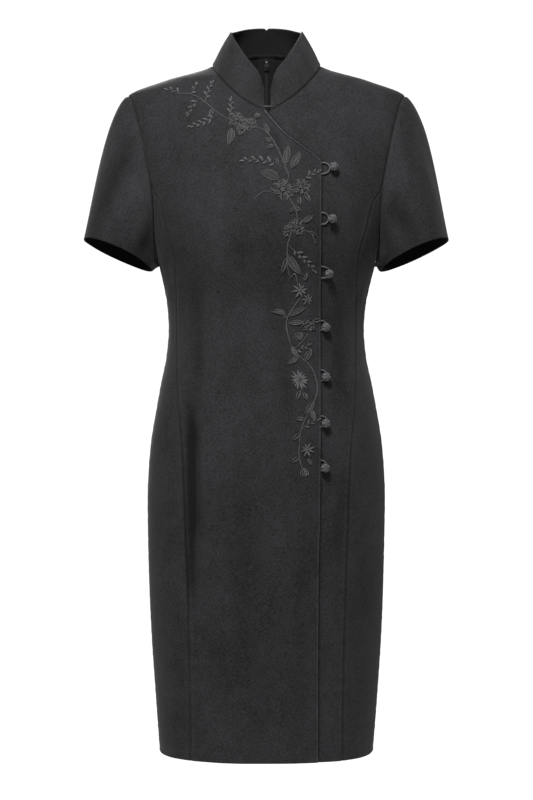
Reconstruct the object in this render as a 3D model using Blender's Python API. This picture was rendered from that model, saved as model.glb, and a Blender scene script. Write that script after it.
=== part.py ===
"""A fitted knee-length dress with a stand collar, worn form, no wearer.

The front faces -Y and the wearer's left is +X. The origin is where the shoulders carry
the dress: midway between the two side neck points. Every panel is a thin wall of cloth
on one body surface, whose level sections are superellipses. A place on that surface is a
turn and a height: turn 0 is the centre front, +1 and -1 are the left and right sides
(and the shoulder seams above the armholes), and +2 and -2 both are the centre back.
"""

import math
from collections import namedtuple

import bmesh
import bpy
import numpy as np
from mathutils import Matrix, Vector

# Cloth and seams
CLOTH = 0.0016
COLLAR_CLOTH = 0.0022
SEAM_GAP = 0.0004
MITRE_LIMIT = 2.0
SAME_DIRECTION = 0.999
FREE = np.full(3, np.nan)

# Body surface
SECTION_POWER = 2.3
HEM_Z = -0.960
UNDERARM_Z = -0.281
SHOULDER_Z = -0.044
BACK_NECK_Z = 0.022
BODY_COLUMNS = ("height", "half_width", "front_depth", "back_depth")
BODY_SECTIONS = (
    (0.034, 0.0650, 0.0100, 0.0520),
    (0.022, 0.0665, 0.0120, 0.0550),
    (0.011, 0.0705, 0.0140, 0.0585),
    (0.000, 0.0765, 0.0170, 0.0625),
    (-0.022, 0.1440, 0.0420, 0.0700),
    (-0.044, 0.1940, 0.0600, 0.0765),
    (-0.070, 0.1955, 0.0765, 0.0845),
    (-0.110, 0.1925, 0.0970, 0.0935),
    (-0.150, 0.1865, 0.1125, 0.0990),
    (-0.180, 0.1805, 0.1200, 0.1015),
    (-0.215, 0.1715, 0.1245, 0.1025),
    (-0.250, 0.1610, 0.1225, 0.1010),
    (-0.281, 0.1515, 0.1155, 0.0980),
    (-0.312, 0.1440, 0.1070, 0.0940),
    (-0.340, 0.1388, 0.1015, 0.0905),
    (-0.370, 0.1370, 0.0990, 0.0890),
    (-0.407, 0.1400, 0.1010, 0.0915),
    (-0.446, 0.1480, 0.1065, 0.0980),
    (-0.486, 0.1553, 0.1120, 0.1065),
    (-0.525, 0.1616, 0.1155, 0.1130),
    (-0.565, 0.1650, 0.1175, 0.1175),
    (-0.604, 0.1665, 0.1185, 0.1195),
    (-0.663, 0.1658, 0.1190, 0.1180),
    (-0.742, 0.1637, 0.1185, 0.1155),
    (-0.801, 0.1609, 0.1180, 0.1145),
    (-0.879, 0.1553, 0.1175, 0.1135),
    (-0.960, 0.1493, 0.1175, 0.1135),
)

# Armhole: a loop of angles, 0 at the shoulder and 180 at the underarm
ARMHOLE_REACH_FRONT = 0.345
ARMHOLE_REACH_BACK = 0.325
ARMHOLE_TOP_POWER = 0.6
ARMHOLE_LOW_POWER = 1.6
FRONT_ARMHOLE_LOW = (180, 165, 150, 135, 120, 108, 96)
FRONT_ARMHOLE_TOP = (90, 83, 76, 69, 62, 55, 48, 40, 32, 25, 18, 9, 0)
BACK_ARMHOLE = (180, 166, 154, 142, 130, 118, 107, 96, 85, 74, 63, 52, 41, 31, 21, 10, 0)
BACK_NECK_ROWS = 6

# Neckline
NECK_HALF_WIDTH = 0.0765
NECK_DROP = 0.0715
NECK_POWERS = (1.5, 0.8)
BACK_NECK_POWER = 1.2
FRONT_NECK_ANGLES = (15, 30, 45, 60, 75, 90)

# Princess seams: distance from the centre line at each height
PRINCESS_COLUMNS = ("height", "distance")
PRINCESS = (
    (-0.175, 0.1575),
    (-0.199, 0.1455),
    (-0.235, 0.1370),
    (-0.270, 0.1270),
    (-0.310, 0.1245),
    (-0.385, 0.1240),
    (-0.455, 0.1225),
    (-0.487, 0.1200),
    (-0.545, 0.1155),
    (-0.655, 0.1115),
    (-0.730, 0.1080),
    (-0.805, 0.1055),
    (-0.893, 0.1040),
    (-0.960, 0.1035),
)
PRINCESS_TIP = 0.0015

# Overlap edge: a nearly straight placket and a diagonal to the neck
PLACKET_COLUMNS = ("height", "distance")
PLACKET = ((-0.145, 0.0745), (-0.426, 0.0741), (-0.583, 0.0732), (-0.753, 0.0703), (-0.960, 0.0700))
PLACKET_TOP_Z = -0.145
DIAGONAL_END = (-0.0010, -0.0725)
DIAGONAL_DIP = 0.0075
DIAGONAL_DIP_POWER = 1.6
DIAGONAL_ROWS = 5
LAP = 0.025
LAP_AT_NECK = 0.002
LAP_GAP = 0.0008
LAP_RISE = 0.025

# Rows and columns of the panels
SKIRT_ROWS = 21
OVERLAP_COLUMNS = 15
UNDERLAP_COLUMNS = 8
SIDE_COLUMNS = 5
BACK_COLUMNS = 10

# Folds: a soft trough (negative) or ridge (positive) along a line of the front or back
FOLD_FADE = 0.3
FOLD_START = 0.2
Fold =namedtuple("Fold", "face x_top z_top x_low z_low half_width rise")
FOLDS = (
    ("front", -0.0945, -0.300, -0.0950, -0.470, 0.010, -0.0020),
    ("front", -0.1010, -0.485, -0.0960, -0.660, 0.010, -0.0032),
    ("front", -0.0650, -0.160, -0.0640, -0.590, 0.016, 0.0018),
    ("front", 0.0120, -0.100, 0.0260, -0.150, 0.008, -0.0014),
    ("front", 0.0330, -0.420, 0.0300, -0.500, 0.011, -0.0014),
    ("front", 0.0980, -0.330, 0.1010, -0.470, 0.011, -0.0018),
    ("front", 0.1050, -0.560, 0.1000, -0.700, 0.012, -0.0016),
    ("back", -0.0700, -0.330, -0.0800, -0.470, 0.014, -0.0024),
    ("back", 0.0660, -0.340, 0.0780, -0.490, 0.014, -0.0020),
    ("back", -0.0450, -0.400, -0.0300, -0.560, 0.015, 0.0020),
    ("back", 0.0400, -0.600, 0.0460, -0.860, 0.018, 0.0018),
)

# Sleeves
CUFF_OUTER = (0.2564, -0.2456)
CUFF_INNER = (0.1605, -0.2880)
CUFF_HALF_DEPTH = 0.056
CUFF_FRONT_LIFT = 0.0105
CUFF_BACK_DROP = 0.0040
SLEEVE_STEPS = (0.0, 0.08, 0.20, 0.34, 0.50, 0.66, 0.83, 1.0)
SLEEVE_TOP_BULGE = 0.0125
SLEEVE_TOP_DIRECTION = (0.85, 0.0, 0.53)
SLEEVE_TOP_POWER = 1.5
SLEEVE_SIDE_BULGE = 0.0060
SLEEVE_SIDE_OUTWARD = 0.3
SLEEVE_BULGE_POWER = 0.55

# Collar: rise of the top edge above the base, at each distance from the centre front
COLLAR_FRONT_EDGE_RIGHT = 0.0026
COLLAR_FRONT_EDGE_LEFT = 0.0052
COLLAR_CORNER_STEPS = (0.0030, 0.0065, 0.0105)
COLLAR_RISE_COLUMNS = ("distance", "rise")
COLLAR_FRONT_RISE = (
    (0.000, 0.0300), (0.003, 0.0385), (0.0065, 0.0440), (0.0115, 0.0485), (0.017, 0.0520),
    (0.038, 0.0535), (0.054, 0.0530), (0.066, 0.0510), (0.0765, 0.0475),
)
COLLAR_BACK_RISE = ((0.0, 0.0475), (0.25, 0.0452), (0.5, 0.0430), (0.75, 0.0408), (1.0, 0.0394))
COLLAR_SIDE_LEAN = 0.66
COLLAR_FRONT_LEAN = 0.71
COLLAR_BACK_LEAN = 0.86
COLLAR_BOW = 0.0010
COLLAR_ROWS = 5
COLLAR_NOTCH = 0.0022
COLLAR_NOTCH_WIDTH = 0.0026
BACK_SPLIT_HALF = 0.0002
HOOK_RADIUS = 0.0008
HOOK_RISE = 0.0030
HOOK_OFF_CLOTH = 0.0004

# Buttons: height of each and its distance from the placket edge, half span of its loop
Button = namedtuple("Button", "height from_edge loop_half_span")
BUTTONS = (
    (-0.1555, 0.0145, 0.0080),
    (-0.2240, 0.0130, 0.0080),
    (-0.2960, 0.0098, 0.0100),
    (-0.3700, 0.0064, 0.0110),
    (-0.4390, 0.0066, 0.0110),
    (-0.5015, 0.0066, 0.0110),
    (-0.5610, 0.0062, 0.0100),
)
BALL_RADIUS = 0.0056
BALL_HEIGHT = 0.0094
SHANK_RADIUS = 0.0018
SHANK_FOOT_RADIUS = 0.0026
BUTTON_SEAT = 0.0009
BUTTON_SIDES = 10
BALL_RINGS = 6
LOOP_RADIUS = 0.0011
LOOP_HEIGHT = 0.0024
LOOP_PAST_SHANK = 0.0036
LOOP_FROM_EDGE = 0.0006
LOOP_POINTS = 11

# Zip
ZIP_SLOT_HALF = 0.0016
ZIP_END_Z = -0.560
TAPE_THICKNESS = 0.0006
TAPE_GAP = 0.0003
TAPE_WIDTH = 0.011
TAPE_FROM_SLOT = 0.0003
TAPE_BELOW_NECK = 0.0035
TAPE_ABOVE_ZIP_END = 0.005
CHAIN_HALF = 0.0012
CHAIN_THICKNESS = 0.0022
CHAIN_SINK = 0.0001
CHAIN_BELOW_SLIDER = 0.0008
CHAIN_LEAST_STEP = 0.002
SLIDER_DROP = 0.014
SLIDER_HALF_WIDTH = 0.0035
SLIDER_HALF_LENGTH = 0.0050
SLIDER_FACE_GAP = 0.0006
SLIDER_PLATE = 0.0014
BACK_PLATE_HALF_LENGTH = 0.0045
BRIDGE_HALF_WIDTH = 0.0010
BRIDGE_LOW = -0.0030
BRIDGE_HIGH = 0.0042
BAIL_HALF_WIDTH = 0.0008
BAIL_HALF_LENGTH = 0.0040
BAIL_TUNNEL_HALF = 0.0026
BAIL_TUNNEL_HEIGHT = 0.0018
BAIL_ROOF = 0.0007
CUT_THROUGH = 0.0050
TAB_BAR = 0.0010
TAB_HALF_WIDTH = 0.0030
TAB_WINDOW_HALF = 0.0015
TAB_WINDOW_LENGTH = 0.0048
TAB_LENGTH = 0.0230
STOP_HALF_LENGTH = 0.0012
STOP_ABOVE_SLIDER = 0.0075
STOP_PAST_CLOTH = 0.0012
STOP_OUT = 0.0002

CLOTH_COLOUR = (0.030, 0.030, 0.033)
COLLAR_COLOUR = (0.034, 0.034, 0.036)
CORD_COLOUR = (0.018, 0.018, 0.020)
TAPE_COLOUR = (0.012, 0.012, 0.013)
METAL_COLOUR = (0.16, 0.16, 0.17)


def clear_scene():
    """Remove what the file opened with."""
    for thing in list(bpy.data.objects):
        bpy.data.objects.remove(thing, do_unlink=True)


def finish(name, colour, roughness, metallic=0.0):
    """A plain material with the piece's colour."""
    material = bpy.data.materials.new(name)
    material.use_nodes = True
    shader = material.node_tree.nodes["Principled BSDF"]
    shader.inputs["Base Color"].default_value = (*colour, 1.0)
    shader.inputs["Roughness"].default_value = roughness
    shader.inputs["Metallic"].default_value = metallic
    return material


def smooth_curve(rows, columns, name):
    """A smooth curve of a table's named column over its first, which never overshoots."""
    column = columns.index(name)
    ordered = sorted(rows)
    places = np.array([row[0] for row in ordered], dtype=float)
    values = np.array([row[column] for row in ordered], dtype=float)
    steps = np.diff(places)
    slopes = np.diff(values) / steps
    tangents = np.empty_like(values)
    tangents[0] = slopes[0]
    tangents[-1] = slopes[-1]
    for index in range(1, len(values) - 1):
        before = slopes[index - 1]
        after = slopes[index]
        if before * after <= 0:
            tangents[index] = 0.0
            continue
        near = 2 * steps[index] + steps[index - 1]
        far = steps[index] + 2 * steps[index - 1]
        tangents[index] = (near + far) / (near / before + far / after)

    def value(place):
        place = np.clip(np.asarray(place, dtype=float), places[0], places[-1])
        index = np.clip(np.searchsorted(places, place, side="right") - 1, 0, len(steps) - 1)
        step = steps[index]
        share = (place - places[index]) / step
        rise = values[index + 1] - values[index]
        bend_in = tangents[index] * step
        bend_out = tangents[index + 1] * step
        square = share * share
        cube = square * share
        return (values[index] + bend_in * share
                + (3 * rise - 2 * bend_in - bend_out) * square
                + (bend_in + bend_out - 2 * rise) * cube)

    return value


half_width_at = smooth_curve(BODY_SECTIONS, BODY_COLUMNS, "half_width")
front_depth_at = smooth_curve(BODY_SECTIONS, BODY_COLUMNS, "front_depth")
back_depth_at = smooth_curve(BODY_SECTIONS, BODY_COLUMNS, "back_depth")
princess_at = smooth_curve(PRINCESS, PRINCESS_COLUMNS, "distance")
placket_at = smooth_curve(PLACKET, PLACKET_COLUMNS, "distance")
collar_front_rise_at = smooth_curve(COLLAR_FRONT_RISE, COLLAR_RISE_COLUMNS, "rise")
collar_back_rise_at = smooth_curve(COLLAR_BACK_RISE, COLLAR_RISE_COLUMNS, "rise")


def slope(curve, place):
    """Rate of change of a curve."""
    step = 1e-5
    return (curve(place + step) - curve(place - step)) / (2 * step)


def smooth_step(share):
    """Ease from 0 to 1."""
    share = np.clip(share, 0.0, 1.0)
    return share * share * (3 - 2 * share)


def body_point(turn, height):
    """The point of the body surface at a turn and a height, without folds."""
    turn = np.asarray(turn, dtype=float)
    height = np.asarray(height, dtype=float)
    in_front = np.abs(turn) <= 1
    quarter = np.where(in_front, np.abs(turn), 2 - np.abs(turn)) * math.pi / 2
    across = np.abs(np.sin(quarter)) ** (2 / SECTION_POWER)
    along = np.abs(np.cos(quarter)) ** (2 / SECTION_POWER)
    x = np.sign(turn) * half_width_at(height) * across
    y = np.where(in_front, -front_depth_at(height), back_depth_at(height)) * along
    return np.stack([x, y, height + 0 * x], axis=-1)


def body_normal(turn, height):
    """The outward normal of the body surface."""
    point = body_point(turn, height)
    in_front = np.abs(np.asarray(turn, dtype=float)) <= 1
    width = half_width_at(height)
    depth = np.where(in_front, front_depth_at(height), back_depth_at(height))
    depth_slope = np.where(in_front, slope(front_depth_at, height), slope(back_depth_at, height))
    across = np.abs(point[..., 0]) / width
    along = np.abs(point[..., 1]) / depth
    x = np.sign(point[..., 0]) * across ** (SECTION_POWER - 1) / width
    y = np.sign(point[..., 1]) * along ** (SECTION_POWER - 1) / depth
    z = -(across ** SECTION_POWER * slope(half_width_at, height) / width
          + along ** SECTION_POWER * depth_slope / depth)
    normal = np.stack([x, y, z], axis=-1)
    return normal / np.linalg.norm(normal, axis=-1, keepdims=True)


def front_turn(x, height):
    """The turn of the front point that lies at x."""
    share = np.clip(np.abs(x) / half_width_at(height), 0.0, 1.0)
    return np.sign(x) * np.arcsin(share ** (SECTION_POWER / 2)) * 2 / math.pi


def back_turn(x, height):
    """The turn of the back point that lies at x."""
    side = np.where(np.asarray(x) < 0, -1.0, 1.0)
    return side * 2 - front_turn(x, height)


def fold_rise(point, turn):
    """How far the folds move the cloth out at a point."""
    rise = np.zeros(point.shape[:-1])
    in_front = np.abs(np.asarray(turn, dtype=float)) <= 1
    for fold in map(Fold._make, FOLDS):
        run = np.array([fold.x_low - fold.x_top, fold.z_low - fold.z_top])
        length = np.hypot(*run)
        offset_x = point[..., 0] - fold.x_top
        offset_z = point[..., 2] - fold.z_top
        along = (offset_x * run[0] + offset_z * run[1]) / length ** 2
        across = (offset_x * run[1] - offset_z * run[0]) / length
        top_end = smooth_step(along / FOLD_FADE + FOLD_START)
        low_end = smooth_step((1 - along) / FOLD_FADE + FOLD_START)
        ends = top_end * low_end
        right_face = in_front if fold.face == "front" else ~in_front
        swell = fold.rise * ends * np.exp(-(across / fold.half_width) ** 2)
        rise = rise + np.where(right_face, swell, 0.0)
    return rise


def overlap_edge_distance(x, height):
    """Signed distance from the overlap's edge, positive where the underlap shows."""
    edge = overlap_edge_points()
    best = np.full(np.shape(x), 1e9)
    for start, end in zip(edge[:-1], edge[1:]):
        run = end - start
        share = ((x - start[0]) * run[0] + (height - start[1]) * run[1]) / (run @ run)
        share = np.clip(share, 0.0, 1.0)
        gap = np.hypot(x - start[0] - share * run[0], height - start[1] - share * run[1])
        best = np.minimum(best, gap)
    beyond_placket = x > placket_at(height)
    above_diagonal = height > np.interp(x, edge[::-1, 0], edge[::-1, 1], left=-1.0, right=-1.0)
    shows = np.where(height < PLACKET_TOP_Z, beyond_placket, above_diagonal | beyond_placket)
    return np.where(shows, best, -best)


def diagonal_point(share):
    """A point (x, height) of the diagonal edge, from the placket's top to the neck."""
    start = np.array([placket_at(PLACKET_TOP_Z), PLACKET_TOP_Z])
    end = np.array(DIAGONAL_END)
    point = start + (end - start) * share
    point[1] -= DIAGONAL_DIP * math.sin(math.pi * share ** DIAGONAL_DIP_POWER)
    return point


def overlap_edge_points():
    """The overlap's edge as (x, height) points, from the hem to the neck."""
    placket = [np.array([float(placket_at(z)), z]) for z in np.linspace(HEM_Z, PLACKET_TOP_Z, 16)]
    diagonal = [diagonal_point(share) for share in np.linspace(0, 1, 11)[1:]]
    return np.array(placket + diagonal)


def lap_sink(x, height):
    """How far the underlap lies below the overlap's surface."""
    distance = overlap_edge_distance(x, height)
    return (CLOTH + LAP_GAP) * (1 - smooth_step(distance / LAP_RISE))


def skin(turn, height, lapped=False):
    """Points and normals of the cloth's outer face."""
    turn = np.asarray(turn, dtype=float)
    height = np.asarray(height, dtype=float) + 0 * turn
    point = body_point(turn, height)
    normal = body_normal(turn, height)
    rise = fold_rise(point, turn)
    if lapped:
        rise = rise - lap_sink(point[..., 0], height)
    return point + normal * rise[..., None], normal


def armhole_turn(angle, in_front):
    """Turn and height of the armhole at an angle, on the +X side."""
    around = math.radians(angle)
    middle = (SHOULDER_Z + UNDERARM_Z) / 2
    half_height = (SHOULDER_Z - UNDERARM_Z) / 2
    power = ARMHOLE_TOP_POWER if angle <= 90 else ARMHOLE_LOW_POWER
    reach = (ARMHOLE_REACH_FRONT if in_front else ARMHOLE_REACH_BACK) * abs(math.sin(around)) ** power
    height = middle + half_height * math.cos(around)
    turn = 1 - reach if in_front else 1 + reach
    return turn, height


def neck_front(angle):
    """Distance from the centre and height of the front neckline at an angle."""
    distance = NECK_HALF_WIDTH * math.sin(math.radians(angle))
    share = min(distance / NECK_HALF_WIDTH, 1.0)
    return distance, -NECK_DROP * (1 - share ** NECK_POWERS[0]) ** NECK_POWERS[1]


def neck_back(share):
    """Turn and height of the back neckline, from the side (0) to the centre back (1)."""
    return 1 + share, BACK_NECK_Z * math.sin(share * math.pi / 2) ** BACK_NECK_POWER


def unit(vectors):
    """Vectors of length one."""
    return vectors / np.maximum(np.linalg.norm(vectors, axis=-1, keepdims=True), 1e-12)


def grid_normals(points, outward_hint, wraps=False):
    """Normals of a grid of points, turned to the side of a hint."""
    down_rows = np.gradient(points, axis=0)
    if wraps:
        along_columns = np.roll(points, -1, axis=1) - np.roll(points, 1, axis=1)
    else:
        along_columns = np.gradient(points, axis=1)
    normals = unit(np.cross(down_rows, along_columns))
    agrees = np.sum(normals * outward_hint, axis=-1, keepdims=True) >= 0
    return np.where(agrees, normals, -normals)


def wall_faces(points, normals, thickness, mates):
    """Outer and inner points of a cloth wall, mitred and parted at its seams.

    mates maps an edge ("first_row", "last_row", "first_column", "last_column") to the
    normals of the piece sewn there, one for each point, or nan where the edge is free.
    """
    outer = points.copy()
    reach = -normals * thickness
    shift = np.zeros_like(points)
    edges = {
        "first_row": (np.s_[0, :], np.s_[1, :]),
        "last_row": (np.s_[-1, :], np.s_[-2, :]),
        "first_column": (np.s_[:, 0], np.s_[:, 1]),
        "last_column": (np.s_[:, -1], np.s_[:, -2]),
    }
    for edge, mate in mates.items():
        here, inside = edges[edge]
        sewn = ~np.isnan(mate[:, 0])
        own = normals[here]
        other = np.where(sewn[:, None], mate, own)
        closeness = 1 + np.sum(own * other, axis=-1, keepdims=True)
        mitre = -(own + other) / np.maximum(closeness, 1e-6) * thickness
        length = np.linalg.norm(mitre, axis=-1, keepdims=True)
        mitre = mitre * np.minimum(1.0, MITRE_LIMIT * thickness / length)
        turned = np.sum(own * other, axis=-1) < SAME_DIRECTION
        edge_reach = reach[here]
        edge_reach[sewn & turned] = mitre[sewn & turned]
        reach[here] = edge_reach
        run = np.gradient(points[here], axis=0)
        away = unit(np.cross(run, mitre))
        inward = points[inside] - points[here]
        sign = np.where(np.sum(away * inward, axis=-1, keepdims=True) >= 0, 1.0, -1.0)
        edge_shift = shift[here]
        edge_shift[sewn] += (away * sign * SEAM_GAP / 2)[sewn]
        shift[here] = edge_shift
    return outer + shift, outer + reach + shift


def add_object(name, mesh, material):
    """Put a mesh in the scene."""
    thing = bpy.data.objects.new(name, mesh)
    mesh.materials.append(material)
    bpy.context.scene.collection.objects.link(thing)
    return thing


def add_wall(name, material, outer, inner, wraps=False):
    """A closed solid between two grids of points."""
    mesh = bpy.data.meshes.new(name)
    shape = bmesh.new()
    shells = [[[shape.verts.new(point) for point in row] for row in grid] for grid in (outer, inner)]
    rows, columns = outer.shape[:2]
    spans = columns if wraps else columns - 1
    for shell, flipped in zip(shells, (False, True)):
        for row in range(rows - 1):
            for column in range(spans):
                beside = (column + 1) % columns
                corners = [shell[row][column], shell[row][beside],
                           shell[row + 1][beside], shell[row + 1][column]]
                shape.faces.new(corners[::-1] if flipped else corners)
    for row, flipped in ((0, True), (rows - 1, False)):
        for column in range(spans):
            beside = (column + 1) % columns
            corners = [shells[0][row][column], shells[0][row][beside],
                       shells[1][row][beside], shells[1][row][column]]
            shape.faces.new(corners[::-1] if flipped else corners)
    if not wraps:
        for column, flipped in ((0, False), (columns - 1, True)):
            for row in range(rows - 1):
                corners = [shells[0][row][column], shells[0][row + 1][column],
                           shells[1][row + 1][column], shells[1][row][column]]
                shape.faces.new(corners[::-1] if flipped else corners)
    if shape.calc_volume(signed=True) < 0:
        bmesh.ops.reverse_faces(shape, faces=shape.faces[:])
    shape.to_mesh(mesh)
    shape.free()
    mesh.shade_smooth()
    mesh.set_sharp_from_angle(angle=math.radians(40))
    return add_object(name, mesh, material)


def mirrored(values):
    """The same points on the other side of the centre line."""
    return values * np.array([-1.0, 1.0, 1.0])


def sleeve_grid(side):
    """Outer points of a sleeve: rows from the armhole to the cuff, columns all round."""
    front = list(FRONT_ARMHOLE_TOP[::-1]) + list(FRONT_ARMHOLE_LOW[::-1])
    back = list(BACK_ARMHOLE[1:-1])
    stations = [(angle, True) for angle in front] + [(angle, False) for angle in back]
    outer_corner = np.array([CUFF_OUTER[0], 0.0, CUFF_OUTER[1]])
    inner_corner = np.array([CUFF_INNER[0], 0.0, CUFF_INNER[1]])
    columns = []
    for angle, in_front in stations:
        turn, height = armhole_turn(angle, in_front)
        start = skin(side * turn, height)[0] * np.array([side, 1.0, 1.0])
        around = math.radians(angle)
        lift = CUFF_FRONT_LIFT if in_front else -CUFF_BACK_DROP
        face = -1.0 if in_front else 1.0
        end = ((outer_corner + inner_corner) / 2
               + (outer_corner - inner_corner) / 2 * math.cos(around)
               + np.array([0.0, face * CUFF_HALF_DEPTH, lift]) * math.sin(around))
        topness = ((1 + math.cos(around)) / 2) ** SLEEVE_TOP_POWER
        top_push = np.array(SLEEVE_TOP_DIRECTION) * SLEEVE_TOP_BULGE * topness
        side_push = np.array([SLEEVE_SIDE_OUTWARD, face, 0.0]) * SLEEVE_SIDE_BULGE * math.sin(around)
        column = []
        for step in SLEEVE_STEPS:
            swell = math.sin(math.pi * step ** SLEEVE_BULGE_POWER)
            column.append(start + (end - start) * step + (top_push + side_push) * swell)
        columns.append(column)
    grid = np.array(columns).transpose(1, 0, 2)
    return (grid if side > 0 else mirrored(grid)), stations


def sleeve_normals(grid):
    """Outward normals of a sleeve's outer points."""
    centre = grid.mean(axis=1, keepdims=True)
    return grid_normals(grid, grid - centre, wraps=True)


def armhole_mates(side):
    """The sleeve's normal at each armhole station."""
    grid, stations = sleeve_grid(side)
    normals = sleeve_normals(grid)[0]
    return {station: normals[index] for index, station in enumerate(stations)}


def mate_at(mates, angle, in_front):
    """The sleeve's normal at an angle, whose end stations both faces share."""
    return mates[(angle, in_front)] if (angle, in_front) in mates else mates[(angle, True)]


def collar_stations(side):
    """Base turns and heights of a collar half, from the front edge to the centre back."""
    edge = COLLAR_FRONT_EDGE_LEFT if side > 0 else COLLAR_FRONT_EDGE_RIGHT
    first_distance, first_height = neck_front(FRONT_NECK_ANGLES[0])
    stations = []
    for distance in (edge, *(edge + step for step in COLLAR_CORNER_STEPS)):
        share = distance / first_distance
        stations.append(("front", distance, -NECK_DROP + (first_height + NECK_DROP) * share))
    for angle in FRONT_NECK_ANGLES:
        stations.append(("front", *neck_front(angle)))
    for share in np.linspace(0, 1, BACK_NECK_ROWS + 1)[1:]:
        stations.append(("back", share, 0.0))
    return stations, edge


def collar_grid(side):
    """Outer points of a collar half: rows from its base up, columns front to back."""
    stations, edge = collar_stations(side)
    columns = []
    for face, place, height in stations:
        if face == "front":
            turn = side * float(front_turn(place, height))
            base = skin(turn, height, lapped=side > 0)[0]
            rise = float(collar_front_rise_at(place - edge))
            upright = smooth_step(1 - (place - edge) / COLLAR_CORNER_STEPS[-1])
            lean_x = COLLAR_SIDE_LEAN + (1 - COLLAR_SIDE_LEAN) * upright
            lean_y = COLLAR_FRONT_LEAN
        else:
            turn, height = neck_back(place)
            base = skin(side * turn, height)[0]
            rise = float(collar_back_rise_at(place))
            lean_x = COLLAR_SIDE_LEAN
            lean_y = COLLAR_BACK_LEAN
        columns.append((base, np.array([base[0] * lean_x, base[1] * lean_y, base[2] + rise])))
    last_base, last_top = columns[-1]
    last_base[0] = side * BACK_SPLIT_HALF
    last_top[0] = side * BACK_SPLIT_HALF
    beside = [last_base.copy(), last_top.copy()]
    for point in beside:
        point[0] = side * COLLAR_NOTCH_WIDTH
    last_top[2] -= COLLAR_NOTCH
    columns.insert(-1, tuple(beside))
    grid = []
    for row in range(COLLAR_ROWS + 1):
        share = row / COLLAR_ROWS
        bow = COLLAR_BOW * math.sin(math.pi * share)
        points = np.array([base + (top - base) * share for base, top in columns])
        outward = unit(points * np.array([1.0, 1.0, 0.0]))
        outward[:4] = outward[4]
        outward[-2:] = np.array([0.0, 1.0, 0.0])
        grid.append(points + outward * bow)
    return np.array(grid)


def collar_normals(grid):
    """Outward normals of a collar half."""
    return grid_normals(grid, grid * np.array([1.0, 1.0, 0.0]))


def neckline_mates(side):
    """The collar's normals at its base, by station."""
    normals = collar_normals(collar_grid(side))[0]
    corner_count = 1 + len(COLLAR_CORNER_STEPS)
    front = {0: normals[0]}
    for index, angle in enumerate(FRONT_NECK_ANGLES):
        front[angle] = normals[corner_count + index]
    after_front = corner_count + len(FRONT_NECK_ANGLES)
    back = [normals[after_front - 1]]
    for index in range(BACK_NECK_ROWS):
        place = after_front + index if index < BACK_NECK_ROWS - 1 else -1
        back.append(normals[place])
    return front, back


def between(starts, ends, columns):
    """Rows of (turn, height) places from one boundary to the other."""
    shares = np.linspace(0, 1, columns + 1)
    starts = np.array(starts)
    ends = np.array(ends)
    return starts[:, None, :] + (ends - starts)[:, None, :] * shares[None, :, None]


def skirt_heights():
    """Heights of the level rows, from the hem to the underarm."""
    return list(np.linspace(HEM_Z, UNDERARM_Z, SKIRT_ROWS + 1))


def princess_turn(height):
    """Turn of the princess seam at a height, kept inside the armhole."""
    distance = float(princess_at(height))
    return float(front_turn(distance, height))


def tip_turn():
    """Turn and height where the princess seam meets the armhole."""
    turn, height = armhole_turn(FRONT_ARMHOLE_LOW[-1], True)
    tip = float(body_point(turn, height)[0]) - PRINCESS_TIP
    return float(front_turn(tip, height)), height


def princess_line():
    """The princess seam's places, from the hem to the armhole."""
    heights = skirt_heights() + [armhole_turn(angle, True)[1] for angle in FRONT_ARMHOLE_LOW[1:-1]]
    return [(princess_turn(height), height) for height in heights] + [tip_turn()]


def side_front(side, material, name):
    """The panel between a side seam and a princess seam."""
    heights = skirt_heights()
    mates = armhole_mates(side)
    outer = [(1.0, height) for height in heights]
    outer += [armhole_turn(angle, True) for angle in FRONT_ARMHOLE_LOW[1:]]
    places = between(outer, princess_line(), SIDE_COLUMNS)
    points, normals = skin(side * places[..., 0], places[..., 1])
    armhole = [mate_at(mates, angle, True) for angle in FRONT_ARMHOLE_LOW]
    seams = {
        "first_column": np.array(list(normals[:len(heights) - 1, 0]) + armhole),
        "last_column": normals[:, -1].copy(),
        "last_row": np.array([FREE] * (SIDE_COLUMNS + 1)),
    }
    outer_face, inner_face = wall_faces(points, normals, CLOTH, seams)
    return add_wall(name, material, outer_face, inner_face)


def centre_front_outline(side):
    """The outer boundary of a centre front and the sleeve's normals along it."""
    mates = armhole_mates(side)
    princess = princess_line()
    armhole = [armhole_turn(angle, True) for angle in FRONT_ARMHOLE_TOP]
    normals = [None] * len(princess) + [mate_at(mates, angle, True) for angle in FRONT_ARMHOLE_TOP]
    return princess + armhole, normals


def with_own(normals, mates):
    """Fill the places that have no other mate with the panel's own normals."""
    return np.array([own if mate is None else mate for own, mate in zip(normals, mates)])


def centre_front(side, inner, lapped, columns, material, name):
    """A centre front panel, from its princess seam to its inner boundary."""
    outer, outer_mates = centre_front_outline(side)
    places = between(outer, inner, columns)
    points, normals = skin(side * places[..., 0], places[..., 1], lapped)
    collar, _ = neckline_mates(side)
    neck = [collar[0]] + [collar[angle] for angle in FRONT_NECK_ANGLES]
    free_rows = len(inner) - len(neck)
    seams = {
        "first_column": with_own(normals[:, 0], outer_mates),
        "last_column": np.array([FREE] * free_rows + neck),
        "last_row": normals[-1].copy(),
    }
    outer_face, inner_face = wall_faces(points, normals, CLOTH, seams)
    return add_wall(name, material, outer_face, inner_face)


def level_inner_heights():
    """Heights of the inner boundary below the diagonal."""
    below = [armhole_turn(angle, True)[1] for angle in FRONT_ARMHOLE_LOW[1:]]
    last = below[-1]
    return skirt_heights() + below + [(last + PLACKET_TOP_Z) / 2, PLACKET_TOP_Z]


def neckline_places():
    """The front neckline after the centre, on the +X side."""
    places = []
    for angle in FRONT_NECK_ANGLES[:-1]:
        distance, height = neck_front(angle)
        places.append((float(front_turn(distance, height)), height))
    return places + [(1.0, 0.0)]


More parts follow.
